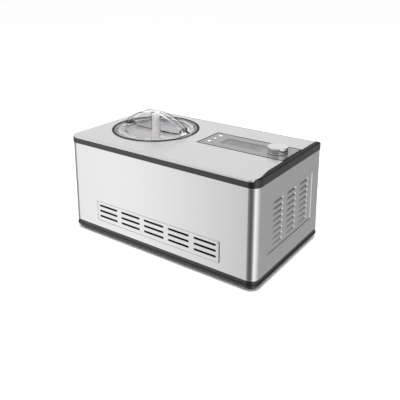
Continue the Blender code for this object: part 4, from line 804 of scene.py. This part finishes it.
class ICM_OT_steel_top(bpy.types.Operator):
    """Build the brushed steel top pan with its rolled rim, opening and notch"""
    bl_idname = "icm.steel_top"
    bl_label = "Steel top"

    def execute(self, context):
        settings = context.scene.icm_top
        wrap = context.scene.icm_wrap
        steel = brushed("brushed_top_steel", tuple(wrap.colour), wrap.brush_roughness + 0.03,
                        (3.0, 1400.0, 1400.0))
        thick = 0.0012
        low = TOP - settings.lip
        rings = [at_level(pan_outline(settings.roll, thick), TOP - thick),
                 at_level(pan_outline(thick, thick), TOP - thick - 0.0030),
                 at_level(pan_outline(thick, thick), low),
                 at_level(pan_outline(0.0, 0.0), low)]
        drop = 0.0040
        steps = 8
        for step in range(steps + 1):
            angle = math.pi / 2 * step / steps
            inset = settings.roll * (1 - math.cos(angle))
            rings.append(at_level(pan_outline(inset, min(inset * 0.12, 0.0006)),
                                  TOP - drop + drop * math.sin(angle)))
        top = loft("steel_top", rings, steel)
        ring_wall = RING_HIGH.x - BOWL_X - 0.0018
        tool = turned("opening_tool", [(0, TOP - CLEAR), (ring_wall, TOP - CLEAR), (ring_wall, TOP + CLEAR),
                                       (0, TOP + CLEAR)], steel)
        carve(top, tool, sharp=28)
        low, high = window_notch()
        carve(top, box_tool("notch_tool", low, (high[0] + CLEAR, high[1], high[2])), sharp=28)
        flatten(top)
        settle(top, "housing", "brushed_steel", "top_plate")
        return {"FINISHED"}


class ICM_OT_black_rail(bpy.types.Operator):
    """Build the black rail under the steel top and the black tray under the wrap"""
    bl_idname = "icm.black_rail"
    bl_label = "Black rail and tray"

    def execute(self, context):
        self.rail(context.scene.icm_top, black_plastic())
        self.tray(black_plastic())
        return {"FINISHED"}

    def rail(self, settings, black):
        """Rail with a recess for the steel top, a notch for the window and a falling rear edge."""
        rear_rim = -FRONT - PAN_HIGH.y + 0.008
        inner = rounded(2 * RIGHT - 2 * settings.rim, -2 * FRONT - settings.rim - rear_rim, 0.006,
                        (0, (settings.rim - rear_rim) / 2), 14)
        profile = ((0.0006, RAIL_LOW.z), (0.0, RAIL_LOW.z + 0.0006), (0.0, TOP - 0.0022),
                   (0.0003, TOP - 0.0011), (0.0010, TOP - 0.0004), (0.0020, TOP))
        rings = [at_level(housing(inset), level) for inset, level in profile]
        rings += [at_level(inner, TOP), at_level(inner, RAIL_LOW.z)]
        rail = loft("black_rail", rings, black, closed=True)
        under = 0.0015
        groove = TOP - settings.lip - GAP
        rings = [at_level(pan_outline(inset, under), TOP - under - fall)
                 for inset, fall in ((0.0078, 0.0), (0.0050, 0.0006), (0.0031, 0.0021), (0.0017, 0.0030))]
        rings.append(at_level(pan_outline(0.0017, under), groove))
        rings += [at_level(pan_outline(-0.002, -GAP, -GAP), level) for level in (groove, TOP + 0.002)]
        carve(rail, loft("pan_recess", rings, black))
        low, high = window_notch(0.0)
        carve(rail, box_tool("rail_notch", (low[0], low[1], TOP - 0.009), high))
        start = PAN_HIGH.y + 0.0002
        slope = [(start, TOP - 0.0012), (-FRONT + 0.002, TOP - settings.slope_drop),
                 (-FRONT + 0.002, TOP + CLEAR), (start, TOP + CLEAR)]
        rings = [[(x, y, z) for y, z in slope] for x in (-1.0, 1.0)]
        carve(rail, loft("slope_tool", rings, black))
        edge_round(rail, 0.0004, 45)
        rail.data.materials.append(matt_black())
        for face in rail.data.polygons:
            if face.normal.z > 0.8:
                face.material_index = 1
        settle(rail, "housing", "black_plastic", "top_frame")

    def tray(self, black):
        """Tray with a stepped skirt and rows of air slots in its floor."""
        skirt = 0.004
        wall = 0.0025
        low = TRAY_LOW.z
        step = low + 0.006
        floor = low + wall
        profile = [(skirt + 0.0040, low), (skirt + 0.0014, low + 0.0006), (skirt + 0.0003, low + 0.0018),
                   (skirt, low + 0.0030), (skirt, step - 0.0012), (skirt - 0.0006, step - 0.0003),
                   (0.0012, step), (0.0003, step + 0.0004), (0.0, step + 0.0013), (0.0, step + 0.0036),
                   (0.0004, step + 0.0041), (0.0014, step + 0.0042), (0.0014, TRAY_HIGH.z - 0.0006),
                   (0.0018, TRAY_HIGH.z), (wall + 0.0010, TRAY_HIGH.z), (wall + 0.0010, step + 0.0025),
                   (skirt + wall, step), (skirt + wall, floor + 0.001), (skirt + wall + 0.001, floor)]
        rings = [at_level(housing(inset), level) for inset, level in profile]
        tray = loft("base_tray_moulding", rings, black, sharp=50)
        shape = bmesh.new()
        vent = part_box("compressor")[0].x + 0.0895
        for column in (-1, 0, 1):
            for row in range(4):
                place = (vent + column * 0.034, FRONT + 0.045 + (row - 1.5) * 0.012, low)
                matrix = Matrix.Translation(place) @ Matrix.Diagonal((0.026, 0.004, 0.02, 1.0))
                bmesh.ops.create_cube(shape, size=1.0, matrix=matrix)
        carve(tray, link("tray_slots", shape, [black]), sharp=50)
        flatten(tray)
        settle(tray, "housing", "black_plastic", "base_tray")


# ------------------------------------------------------------------ bezel, lid, bowl, paddle

class ICM_OT_bezel(bpy.types.Operator):
    """Build the black ring round the bowl's opening"""
    bl_idname = "icm.bezel"
    bl_label = "Opening ring"

    def execute(self, context):
        outer = RING_HIGH.x - BOWL_X
        opening = outer - 0.0034
        ledge = RING_LOW.z + 0.0016
        inner = SEAL_HIGH.x - BOWL_X + 0.0031
        high = RING_HIGH.z
        profile = [(inner, RING_LOW.z), (opening + 0.0016, RING_LOW.z), (opening + 0.0016, TOP + 0.0003),
                   (outer, TOP + 0.0003), (outer - 0.0002, high - 0.0002), (outer - 0.0009, high),
                   (opening + 0.0007, high), (opening, high - 0.0006), (opening, ledge), (inner, ledge)]
        ring = turned("opening_ring", softened(profile, 0.0004, 2), matt_black())
        settle(ring, "housing", "black_plastic", "opening_bezel")
        return {"FINISHED"}


GRIP_REACH = (LID_HIGH.x - LID_LOW.x) / 2 - 0.006


def grip_height(run):
    """Height of the lid's grip above the top, as an arc over its chord."""
    rise = LID_HIGH.z - TOP
    radius = (GRIP_REACH ** 2 + rise ** 2) / (2 * rise)
    return math.sqrt(radius ** 2 - run ** 2) - (radius - rise)


def grip_stations(half_length):
    """Places of the grip's sections along it, closer together towards its ends."""
    return [half_length * math.sin(math.pi / 2 * step / 20) for step in range(-20, 21)]


def grip_boss(name, profile, finish):
    """Round middle of the grip, turned a little so that its corners miss the grip's."""
    boss = turned(name, profile, finish, count=48)
    boss.data.transform(Matrix.Translation((BOWL_X, BOWL_Y, 0)) @ Matrix.Rotation(0.06, 4, "Z")
                        @ Matrix.Translation((-BOWL_X, -BOWL_Y, 0)))
    return boss


def grip_section(settings, run, shrink, foot):
    """Cross-section of the grip: upright sides under a gently crowned top."""
    share = abs(run) / GRIP_REACH
    half = settings.grip_width / 2
    half += (settings.grip_end_width - settings.grip_width) / 2 * share ** 2 - shrink
    top = max(TOP + grip_height(run) - shrink, foot + 0.002)
    side = [(half, foot), (half, top - 0.0022), (half - 0.0002, top - 0.0014), (half - 0.0008, top - 0.0007),
            (half - 0.0018, top - 0.0002), (half - 0.0030, top)]
    profile = side + [(-y, z) for y, z in reversed(side)]
    return [(BOWL_X + run, BOWL_Y + y, z) for y, z in profile]


class ICM_OT_lid(bpy.types.Operator):
    """Build the clear lid with its dish and arched grip, and the seal under it"""
    bl_idname = "icm.lid"
    bl_label = "Lid"

    def execute(self, context):
        settings = context.scene.icm_lid
        clear = clear_finish("clear_lid_plastic", tuple(settings.tint))
        wall = settings.wall
        radius = (LID_HIGH.x - LID_LOW.x) / 2
        flange = TOP + 0.0006
        dish = TOP - settings.dish_depth
        inner = settings.dish_radius
        skirt = LID_LOW.z
        profile = [(0, dish), (inner - 0.003, dish), (inner, flange - 0.0012), (inner + 0.003, flange),
                   (radius, flange), (radius, skirt), (radius - wall, skirt),
                   (radius - wall, flange - wall), (inner + 0.0022, flange - wall),
                   (inner - 0.0022, dish - wall), (0, dish - wall)]
        lid = turned("clear_lid", softened(profile, 0.0009, 3), clear)
        length = radius - 0.0072
        sections = []
        for run in grip_stations(length):
            deep = dish if abs(run) < inner - 0.003 else flange
            sections.append(grip_section(settings, run, 0.0, deep - wall / 2))
        carve(lid, loft("grip_shape", sections, clear), "UNION")
        post = 0.0105
        crown = LID_HIGH.z - 0.001
        carve(lid, grip_boss("boss_shape", [(0, dish - 0.001), (post, dish - 0.001), (post, crown - 0.0012),
                                            (post - 0.0014, crown), (0, crown)], clear), "UNION")
        below = dish - 0.004
        sections = [grip_section(settings, run, wall, below) for run in grip_stations(length - 0.010)]
        carve(lid, loft("grip_hollow", sections, clear))
        bore = post - 0.0014
        carve(lid, grip_boss("boss_hollow", [(0, below), (bore, below), (bore, crown - wall),
                                             (0, crown - wall)], clear))
        flatten(lid)
        settle(lid, "lid", "clear_plastic", "lid")
        self.seal()
        return {"FINISHED"}

    def seal(self):
        """Soft ring under the lid's flange."""
        silicone = moulded("lid_silicone", (0.42, 0.42, 0.43), 0.5, 500.0, 0.06, 0.06)
        inner = SEAL_HIGH.x - BOWL_X - 0.005
        low = SEAL_LOW.z
        profile = [(inner, low + 0.001), (inner + 0.001, low), (inner + 0.004, low),
                   (inner + 0.005, low + 0.001), (inner + 0.005, SEAL_HIGH.z), (inner, SEAL_HIGH.z)]
        ring = turned("lid_seal_ring", softened(profile, 0.0006, 3), silicone)
        settle(ring, "lid", "silicone", "lid_seal")


class ICM_OT_bowl(bpy.types.Operator):
    """Build the lift-out bowl, and finish the drum that it sits in"""
    bl_idname = "icm.bowl"
    bl_label = "Bowl"

    def execute(self, context):
        metal = ringed("turned_bowl_metal", (0.93, 0.92, 0.93), 0.40, BOWL_AXIS)
        set_inputs(shader_of(metal), Metallic=0.70)
        wall = 0.0011
        rim = BOWL_HIGH.z - wall
        low = BOWL_LOW.z
        flange = BOWL_HIGH.x - BOWL_X
        radius = flange - 0.009
        inner = radius - wall
        chimney = 0.0115
        high = low + CHIMNEY_HEIGHT
        profile = [(chimney - wall, low), (radius - 0.006, low), (radius - 0.0018, low + 0.0018),
                   (radius, low + 0.006), (radius, rim), (flange, rim), (flange, rim + wall),
                   (inner + 0.0008, rim + wall), (inner, rim), (inner, low + 0.006),
                   (inner - 0.0050, low + wall), (chimney + 0.003, low + wall),
                   (chimney, low + wall + 0.003), (chimney, high), (chimney - wall, high)]
        bowl = turned("lift_out_bowl", softened(profile, 0.0005, 2), metal)
        settle(bowl, "bowl", "aluminium", "bowl")
        assign(["cooling_drum"], ringed("turned_drum_metal", (0.70, 0.70, 0.71), 0.36, BOWL_AXIS))
        return {"FINISHED"}


class ICM_OT_paddle(bpy.types.Operator):
    """Build the white paddle with its post and two open blades"""
    bl_idname = "icm.paddle"
    bl_label = "Paddle"

    def execute(self, context):
        white = self.white_finish(tuple(context.scene.icm_plastic.white))
        sleeve = 0.0130
        hub = sleeve + 0.0022
        low = PADDLE_LOW.z
        cap = BOWL_LOW.z + CHIMNEY_HEIGHT + 0.0015
        shoulder = cap + 0.015
        post = 0.0078
        top = PADDLE_HIGH.z
        socket = 0.0054
        profile = [(0, top), (post, top), (post, shoulder + 0.006), (hub, shoulder), (hub, low),
                   (sleeve, low), (sleeve, cap), (socket, cap), (socket, cap + 0.0125), (0, cap + 0.0125)]
        paddle = turned("white_paddle", softened(profile, 0.0014, 3), white, count=48)
        reach = PADDLE_HIGH.x - BOWL_X
        high = BOWL_HIGH.z - 0.0211
        blade = [(sleeve + 0.001, low), (reach - 0.006, low), (reach, low + 0.006), (reach, high - 0.004),
                 (reach - 0.007, high), (reach - 0.011, shoulder - 0.030),
                 (sleeve + 0.001, shoulder - 0.012)]
        gap = [(hub + 0.006, low + 0.012), (reach - 0.010, low + 0.014), (reach - 0.012, shoulder - 0.044),
               (hub + 0.006, shoulder - 0.030)]
        thick = 0.0035
        for side in (0, 1):
            sheet = plate("blade_shape", softened(blade, 0.003, 4), [softened(gap, 0.003, 4)], -thick / 2,
                          thick / 2, white)
            turn = Matrix.Translation((BOWL_X, BOWL_Y, 0)) @ Matrix.Rotation(math.pi * side, 4, "Z")
            sheet.data.transform(turn @ Matrix.Rotation(math.pi / 2, 4, "X"))
            carve(paddle, sheet, "UNION")
        edge_round(paddle, 0.0005, 50)
        settle(paddle, "paddle", "white_plastic", "paddle")
        return {"FINISHED"}

    def white_finish(self, colour):
        """Plastic that lets a little light in."""
        finish = moulded("white_paddle_plastic", colour, 0.34, 420.0, 0.05, 0.03)
        set_inputs(shader_of(finish), Subsurface_Weight=0.15, Subsurface_Scale=0.002)
        return finish


# ------------------------------------------------------------------ control panel

def bar(shape, start, end, half, low, high):
    """One straight bar of a symbol, with pointed ends."""
    first = Vector((*start, 0.0))
    last = Vector((*end, 0.0))
    along = (last - first).normalized()
    side = Vector((-along.y, along.x, 0.0)) * half
    corners = [first - along * half * 0.6, first + side, last + side, last + along * half * 0.6,
               last - side, first - side]
    rings = []
    for level in (low, high):
        rings.append([shape.verts.new((corner.x, corner.y, level)) for corner in corners])
    bridge(shape, rings[0], rings[1])
    shape.faces.new(rings[0])
    shape.faces.new(rings[1])


class ICM_OT_control_panel(bpy.types.Operator):
    """Build the glossy control window, the display and the three marked keys"""
    bl_idname = "icm.control_panel"
    bl_label = "Control panel"

    def execute(self, context):
        settings = context.scene.icm_panel
        self.window(settings)
        self.carrier()
        self.display(settings)
        self.keys(settings)
        return {"FINISHED"}

    def gloss(self, name, colour, spread=0.05, roughness=0.10):
        """Glossy moulded plastic with a clear coat."""
        finish = moulded(name, colour, roughness + 0.06, 260.0, 0.015, spread)
        set_inputs(shader_of(finish), Coat_Weight=0.6, Coat_Roughness=0.05)
        return finish

    def window(self, settings):
        """Smoked sheet with holes for the keys, the display and the knob's shaft."""
        trim = 0.0030
        play = 0.0006
        outline = rounded(WINDOW_HIGH.x - WINDOW_LOW.x - trim, WINDOW_HIGH.y - WINDOW_LOW.y - trim, 0.0008,
                          middle_of(WINDOW_LOW, WINDOW_HIGH), 4)
        holes = [circle(KEY_RADIUS + GAP, 40, middle_of(*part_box("button_%d" % number)))
                 for number in (1, 2, 3)]
        holes.append(rounded(DISPLAY_HIGH.x - DISPLAY_LOW.x + play, DISPLAY_HIGH.y - DISPLAY_LOW.y + play,
                             0.0015, middle_of(DISPLAY_LOW, DISPLAY_HIGH), 5))
        holes.append(circle(0.0047, 40, middle_of(KNOB_LOW, KNOB_HIGH)))
        window = plate("control_window_sheet", outline, holes, WINDOW_LOW.z, WINDOW_HIGH.z,
                       self.gloss("smoked_window", tuple(settings.window)))
        edge_round(window, 0.0003, 50)
        settle(window, "housing", "window_plastic", "control_window")

    def carrier(self):
        """Black surround with the ledge that the window lies on."""
        centre = middle_of(CARRIER_LOW, CARRIER_HIGH)
        width = CARRIER_HIGH.x - CARRIER_LOW.x
        depth = CARRIER_HIGH.y - CARRIER_LOW.y
        ledge = WINDOW_LOW.z - GAP
        rings = []
        for inset, level in ((0.0, CARRIER_LOW.z), (0.0, CARRIER_HIGH.z - 0.0001), (0.0001, CARRIER_HIGH.z),
                             (0.0023, CARRIER_HIGH.z), (0.0024, CARRIER_HIGH.z - 0.0001), (0.0024, ledge),
                             (0.0034, ledge), (0.0034, CARRIER_LOW.z)):
            outline = rounded(width - 2 * inset, depth - 2 * inset, max(0.0019 - inset, 0.0006), centre, 5)
            rings.append(at_level(outline, level))
        carrier = loft("window_surround", rings, matt_black(), closed=True)
        settle(carrier, "housing", "black_plastic", "window_carrier")

    def display(self, settings):
        """Sunk display with a stepped border and unlit digits."""
        centre = middle_of(DISPLAY_LOW, DISPLAY_HIGH)
        width = DISPLAY_HIGH.x - DISPLAY_LOW.x
        depth = DISPLAY_HIGH.y - DISPLAY_LOW.y
        high = DISPLAY_HIGH.z
        rings = []
        for inset, level in ((0.0, DISPLAY_LOW.z), (0.0, high), (0.0030, high), (0.0034, high - 0.0005),
                             (0.0060, high - 0.0006)):
            outline = rounded(width - 2 * inset, depth - 2 * inset, max(0.0013 - inset, 0.0006), centre, 4)
            rings.append(at_level(outline, level))
        glass = self.gloss("display_glass_sheet", tuple(settings.display), 0.04, 0.06)
        display = loft("display_pane", rings, glass, sharp=25)
        settle(display, "housing", "display_glass", "display")
        shape = bmesh.new()
        dim = self.gloss("unlit_segments", tuple(value * 0.72 for value in settings.display), 0.04)
        level = high - 0.0006
        for number in range(4):
            left = centre[0] - 0.026 + number * 0.0135 + (0.003 if number > 1 else 0.0)
            self.digit(shape, left, centre[1], 0.0046, 0.0076, level)
        bmesh.ops.recalc_face_normals(shape, faces=shape.faces)
        digits = link("display_digits", shape, [dim])
        settle(digits, "housing", "display_glass")

    def digit(self, shape, left, middle, half_width, half_height, level):
        """Seven bars of one unlit digit."""
        gap = 0.0007
        right = left + 2 * half_width
        for up in (-1, 0, 1):
            height = middle + up * half_height
            bar(shape, (left + gap, height), (right - gap, height), 0.0006, level, level + 0.00012)
        for side in (left, right):
            for up in (-1, 1):
                bar(shape, (side, middle + up * gap), (side, middle + up * (half_height - gap)), 0.0006,
                    level, level + 0.00012)

    def keys(self, settings):
        """Three round keys, marked with a flake, a whisk and a sun of plain bars."""
        key_finish = self.gloss("key_plastic", tuple(settings.window))
        mark_finish = moulded("key_mark_print", tuple(settings.mark), 0.4, 900.0, 0.03, 0.03)
        for number, arms in ((1, 3), (2, 2), (3, 4)):
            low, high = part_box("button_%d" % number)
            middle = middle_of(low, high)
            cap = KEY_RADIUS
            under = WINDOW_LOW.z - GAP
            profile = [(0, high.z), (cap, high.z), (cap, under), (cap + 0.0012, under),
                       (cap + 0.0012, under - 0.0012), (0.0015, under - 0.0012), (0.0015, low.z), (0, low.z)]
            key = turned("key_%d" % number, softened(profile, 0.0004, 3), key_finish, middle, 40)
            body = "button_%d" % number
            settle(key, body, "white_plastic", body)
            shape = bmesh.new()
            for arm in range(arms):
                angle = math.pi * arm / arms + 0.35
                tip = Vector((math.cos(angle), math.sin(angle))) * settings.mark_reach
                lift = high.z + 0.00002 * arm
                bar(shape, (middle[0] - tip.x, middle[1] - tip.y), (middle[0] + tip.x, middle[1] + tip.y),
                    0.00065, lift, lift + 0.00010)
            bmesh.ops.recalc_face_normals(shape, faces=shape.faces)
            settle(link("key_mark_%d" % number, shape, [mark_finish]), body, "white_plastic")


class ICM_OT_knob(bpy.types.Operator):
    """Build the knob with a polished side and a satin crown"""
    bl_idname = "icm.knob"
    bl_label = "Knob"

    def execute(self, context):
        centre = middle_of(KNOB_LOW, KNOB_HIGH)
        radius = (KNOB_HIGH.x - KNOB_LOW.x) / 2
        low = KNOB_LOW.z
        high = KNOB_HIGH.z
        satin = ringed("satin_knob_crown", (0.78, 0.78, 0.79), 0.30, centre)
        polished = ringed("polished_knob_side", (0.62, 0.62, 0.63), 0.07, centre)
        bore = 0.0033
        profile = [(0, high - 0.0003), (radius - 0.0020, high - 0.0003), (radius - 0.0016, high),
                   (radius - 0.0008, high), (radius - 0.0003, high - 0.0005),
                   (radius - 0.0003, low + 0.0022), (radius - 0.0010, low + 0.0019),
                   (radius - 0.0010, low + 0.0014), (radius, low + 0.0011),
                   (radius, low), (radius - 0.0022, low), (radius - 0.0022, high - 0.0022),
                   (bore + 0.003, high - 0.0022), (bore + 0.003, low + 0.001), (bore, low + 0.001),
                   (bore, high - 0.0028), (0, high - 0.0028)]
        knob = turned("control_knob", softened(profile, 0.0004, 3), polished, centre)
        knob.data.materials.append(satin)
        for face in knob.data.polygons:
            if face.center.z > high - 0.0008 and face.normal.z > 0.6:
                face.material_index = 1
        settle(knob, "knob", "chrome", "knob")
        assign(["knob_shaft"], plain_metal("drawn_shaft_metal", (0.66, 0.66, 0.67), 0.3))
        return {"FINISHED"}


# ------------------------------------------------------------------ the rest of the frame

class ICM_OT_rear_and_feet(bpy.types.Operator):
    """Finish the rear panel, the inlet and the feet"""
    bl_idname = "icm.rear_and_feet"
    bl_label = "Rear panel and feet"

    def execute(self, context):
        assign(["rear_panel"], moulded("rear_panel_plastic", tuple(context.scene.icm_plastic.black), 0.5,
                                       420.0, 0.35))
        assign(["power_inlet"], moulded("inlet_plastic", (0.018, 0.018, 0.019), 0.3, 800.0, 0.08))
        assign(alike("foot_"), moulded("foot_rubber", (0.022, 0.022, 0.022), 0.8, 520.0, 0.3))
        return {"FINISHED"}


class ICM_OT_cooling_parts(bpy.types.Operator):
    """Finish the compressor, the pipes, the condenser and the fan"""
    bl_idname = "icm.cooling_parts"
    bl_label = "Cooling parts"

    def execute(self, context):
        enamel = moulded("black_enamel_coat", (0.02, 0.02, 0.021), 0.28, 240.0, 0.10)
        assign(["compressor", "compressor_plate", "fan_motor"], enamel)
        copper = plain_metal("drawn_copper", (0.76, 0.38, 0.24), 0.28)
        assign(["evaporator_coil", "filter_drier", "suction_pipe", "discharge_pipe", "capillary_tube"],
               copper)
        assign(["condenser"], brushed("condenser_fins", (0.62, 0.63, 0.64), 0.40, (500.0, 500.0, 20.0)))
        assign(["insulation_jacket"], foam_finish())
        rubber = moulded("mount_rubber", (0.02, 0.02, 0.02), 0.85, 420.0, 0.3)
        assign(alike("compressor_mount"), rubber)
        assign(["relay_cover", "fan_rotor"], moulded("inner_black_plastic", (0.025, 0.025, 0.026), 0.45))
        assign(["fan_shroud"], moulded("shroud_plastic", (0.20, 0.20, 0.21), 0.5))
        assign(["fan_shaft"], plain_metal("fan_shaft_metal", (0.6, 0.6, 0.61), 0.3))
        return {"FINISHED"}


class ICM_OT_drive_parts(bpy.types.Operator):
    """Finish the gears, the shafts, the motor, the boards and their supports"""
    bl_idname = "icm.drive_parts"
    bl_label = "Drive and boards"

    def execute(self, context):
        grey = moulded("grey_moulding", (0.24, 0.24, 0.25), 0.5)
        assign(["gearbox_housing", "gearbox_cover", "encoder"], grey)
        assign(alike("drum_pillar"), grey)
        assign(["output_gear", "idler_gear", "shaft_bearing"],
               moulded("gear_plastic", (0.80, 0.80, 0.77), 0.42, 380.0, 0.05, 0.04))
        metal = plain_metal("shaft_steel", (0.60, 0.60, 0.61), 0.26)
        assign(["drive_shaft", "idler_pin", "motor_shaft", "motor_pinion"], metal)
        assign(["paddle_motor"], plain_metal("motor_can", (0.52, 0.53, 0.54), 0.38))
        assign(["shaft_seal"], moulded("seal_rubber", (0.02, 0.02, 0.02), 0.7))
        assign(["control_board", "power_board"], board_finish())
        assign(["transformer"], moulded("winding_tape", (0.55, 0.42, 0.08), 0.45, 300.0, 0.2))
        return {"FINISHED"}


# ------------------------------------------------------------------ floor, light and camera

KEY_PLACE = Vector((0.35, -0.50, 1.4))
KEY_AIM = Vector((0.1, -0.1, 0.0))
TARGET = Vector((0.0134, 0.0, CASING_LOW.z + 0.2345))
# What the metal mirrors: directions in degrees round the housing from its front, positive to the
# right, each with its brightness, level with the floor and higher up.
LOW_STOPS = ((-180, 0.30), (-140, 0.22), (-60, 0.18), (-50, 0.66), (-46, 0.71), (-36, 0.52), (-26, 0.34),
             (-12, 0.10), (25, 0.05), (44, 0.20), (62, 0.68), (92, 0.50), (118, 0.27), (144, 0.23),
             (165, 0.22))
HIGH_STOPS = ((-180, 0.42), (-144, 0.48), (-110, 0.45), (-62, 0.52), (-20, 0.30), (20, 0.24), (54, 0.70),
              (92, 0.35), (118, 0.07), (145, 0.03), (165, 0.10))
COLOUR_A, COLOUR_B = 6, 7    # colour inputs of a Mix node, whose names aren't unique


def direction_ramp(tree, turn, stops):
    """Brightness by direction round the housing."""
    ramp = add_node(tree, "ValToRGB")
    ramp.color_ramp.interpolation = "EASE"
    elements = ramp.color_ramp.elements
    elements.remove(elements[1])
    for index, (degrees, level) in enumerate(stops):
        position = degrees / 360 + 0.5
        element = elements[0] if index == 0 else elements.new(position)
        element.position = position
        element.color = (level, level * 0.99, level, 1.0)
    tree.links.new(turn, ramp.inputs["Fac"])
    return ramp.outputs["Color"]


def math_node(tree, operation, first, second):
    """A sum, product or angle of two numbers or outputs."""
    step = add_node(tree, "Math")
    step.operation = operation
    for socket, value in zip(step.inputs, (first, second)):
        if isinstance(value, float):
            socket.default_value = value
        else:
            tree.links.new(value, socket)
    return step.outputs["Value"]


def mixed_light(tree, factor, first, second):
    """The second light where the factor is 1, otherwise the first."""
    mix = add_node(tree, "MixShader")
    tree.links.new(factor, mix.inputs["Fac"])
    tree.links.new(first.outputs[0], mix.inputs[1])
    tree.links.new(second.outputs[0], mix.inputs[2])
    return mix


class ICM_OT_stage(bpy.types.Operator):
    """Set up the pale floor, the soft studio light and the camera"""
    bl_idname = "icm.stage"
    bl_label = "Stage"

    def execute(self, context):
        settings = context.scene.icm_stage
        self.floor()
        self.sky(context, settings)
        self.key(context, settings)
        self.camera(context, settings)
        context.scene.view_settings.view_transform = "Standard"
        return {"FINISHED"}

    def floor(self):
        """Wide pale floor."""
        shape = bmesh.new()
        bmesh.ops.create_grid(shape, x_segments=2, y_segments=2, size=6.0)
        finish = moulded("studio_floor", (0.96, 0.96, 0.96), 0.8, 30.0, 0.0, 0.004)
        floor = link("studio_floor", shape, [finish])
        floor.visible_glossy = False

    def sky(self, context, settings):
        """Even light, soft boxes for the metal to mirror, and a white backdrop."""
        world = bpy.data.worlds.new("studio")
        context.scene.world = world
        world.use_nodes = True
        world.cycles.sampling_method = "NONE"
        tree = world.node_tree
        even = tree.nodes["Background"]
        set_inputs(even, Color=(1.0, 0.995, 1.0, 1.0), Strength=settings.fill)
        boxes = add_node(tree, "Background", Strength=2.0)
        tree.links.new(self.soft_boxes(tree), boxes.inputs["Color"])
        backdrop = add_node(tree, "Background", Color=(0.985, 0.98, 0.985, 1.0))
        rays = add_node(tree, "LightPath").outputs
        outside = math_node(tree, "SUBTRACT", 1.0, rays["Is Transmission Ray"])
        mirrored = math_node(tree, "MULTIPLY", rays["Is Glossy Ray"], outside)
        lit = mixed_light(tree, mirrored, even, boxes)
        seen = mixed_light(tree, rays["Is Camera Ray"], lit, backdrop)
        tree.links.new(seen.outputs["Shader"], tree.nodes["World Output"].inputs["Surface"])

    def soft_boxes(self, tree):
        """Bright and dark stretches round the housing, low down and higher up."""
        place = add_node(tree, "TexCoord")
        axes = add_node(tree, "SeparateXYZ")
        tree.links.new(place.outputs["Generated"], axes.inputs["Vector"])
        forward = math_node(tree, "MULTIPLY", axes.outputs["Y"], -1.0)
        angle = math_node(tree, "ARCTAN2", axes.outputs["X"], forward)
        turn = math_node(tree, "ADD", math_node(tree, "DIVIDE", angle, 2 * math.pi), 0.5)
        rise = add_node(tree, "MapRange", From_Min=-0.04, From_Max=0.10)
        rise.interpolation_type = "SMOOTHSTEP"
        tree.links.new(axes.outputs["Z"], rise.inputs["Value"])
        blend = add_node(tree, "Mix")
        blend.data_type = "RGBA"
        tree.links.new(rise.outputs["Result"], blend.inputs["Factor"])
        tree.links.new(direction_ramp(tree, turn, LOW_STOPS), blend.inputs[COLOUR_A])
        tree.links.new(direction_ramp(tree, turn, HIGH_STOPS), blend.inputs[COLOUR_B])
        return blend.outputs[2]

    def key(self, context, settings):
        """Large soft light above the front right corner."""
        lamp = bpy.data.lights.new("overhead_soft_light", "AREA")
        lamp.shape = "SQUARE"
        lamp.size = 0.9
        lamp.energy = settings.key
        light = bpy.data.objects.new("overhead_soft_light", lamp)
        light.location = KEY_PLACE
        light.rotation_euler = (KEY_AIM - KEY_PLACE).to_track_quat("-Z", "Y").to_euler()
        light.visible_glossy = False
        context.scene.collection.objects.link(light)

    def camera(self, context, settings):
        """Camera that looks down on the front right corner."""
        lens = bpy.data.cameras.new("studio_camera")
        lens.lens = settings.lens
        lens.sensor_width = 36.0
        lens.shift_y = settings.shift
        lens.dof.use_dof = False
        camera = bpy.data.objects.new("studio_camera", lens)
        back = Vector((math.sin(settings.azimuth) * math.cos(settings.elevation),
                       -math.cos(settings.azimuth) * math.cos(settings.elevation),
                       math.sin(settings.elevation)))
        camera.location = TARGET + back * settings.distance
        camera.rotation_euler = (-back).to_track_quat("-Z", "Y").to_euler()
        context.scene.collection.objects.link(camera)
        context.scene.camera = camera


# ------------------------------------------------------------------ panel and registration

STEPS = (ICM_OT_stage, ICM_OT_steel_wrap, ICM_OT_steel_top, ICM_OT_black_rail, ICM_OT_bezel, ICM_OT_lid,
         ICM_OT_bowl, ICM_OT_paddle, ICM_OT_control_panel, ICM_OT_knob, ICM_OT_rear_and_feet,
         ICM_OT_cooling_parts, ICM_OT_drive_parts)
SETTINGS = {"icm_wrap": WrapSettings, "icm_top": TopSettings, "icm_lid": LidSettings,
            "icm_panel": PanelSettings, "icm_plastic": PlasticSettings, "icm_stage": StageSettings}


class ICM_PT_sidebar(bpy.types.Panel):
    """Sizes, colours and build steps of the ice cream maker"""
    bl_label = "Ice cream maker"
    bl_idname = "ICM_PT_sidebar"
    bl_space_type = "VIEW_3D"
    bl_region_type = "UI"
    bl_category = "Ice Cream"

    def draw(self, context):
        for name, group in SETTINGS.items():
            column = self.layout.column()
            column.label(text=group.__doc__)
            for prop in group.__annotations__:
                column.prop(getattr(context.scene, name), prop)
        for step in STEPS:
            self.layout.operator(step.bl_idname)


def register():
    for name, group in SETTINGS.items():
        bpy.utils.register_class(group)
        setattr(bpy.types.Scene, name, PointerProperty(type=group))
    for step in (*STEPS, ICM_PT_sidebar):
        bpy.utils.register_class(step)


def unregister():
    for step in reversed((*STEPS, ICM_PT_sidebar)):
        bpy.utils.unregister_class(step)
    for name, group in reversed(SETTINGS.items()):
        delattr(bpy.types.Scene, name)
        bpy.utils.unregister_class(group)


def main():
    register()
    bpy.ops.icm.stage()
    bpy.ops.icm.steel_wrap()
    bpy.ops.icm.steel_top()
    bpy.ops.icm.black_rail()
    bpy.ops.icm.bezel()
    bpy.ops.icm.lid()
    bpy.ops.icm.bowl()
    bpy.ops.icm.paddle()
    bpy.ops.icm.control_panel()
    bpy.ops.icm.knob()
    bpy.ops.icm.rear_and_feet()
    bpy.ops.icm.cooling_parts()
    bpy.ops.icm.drive_parts()


if __name__ == "__main__":
    main()
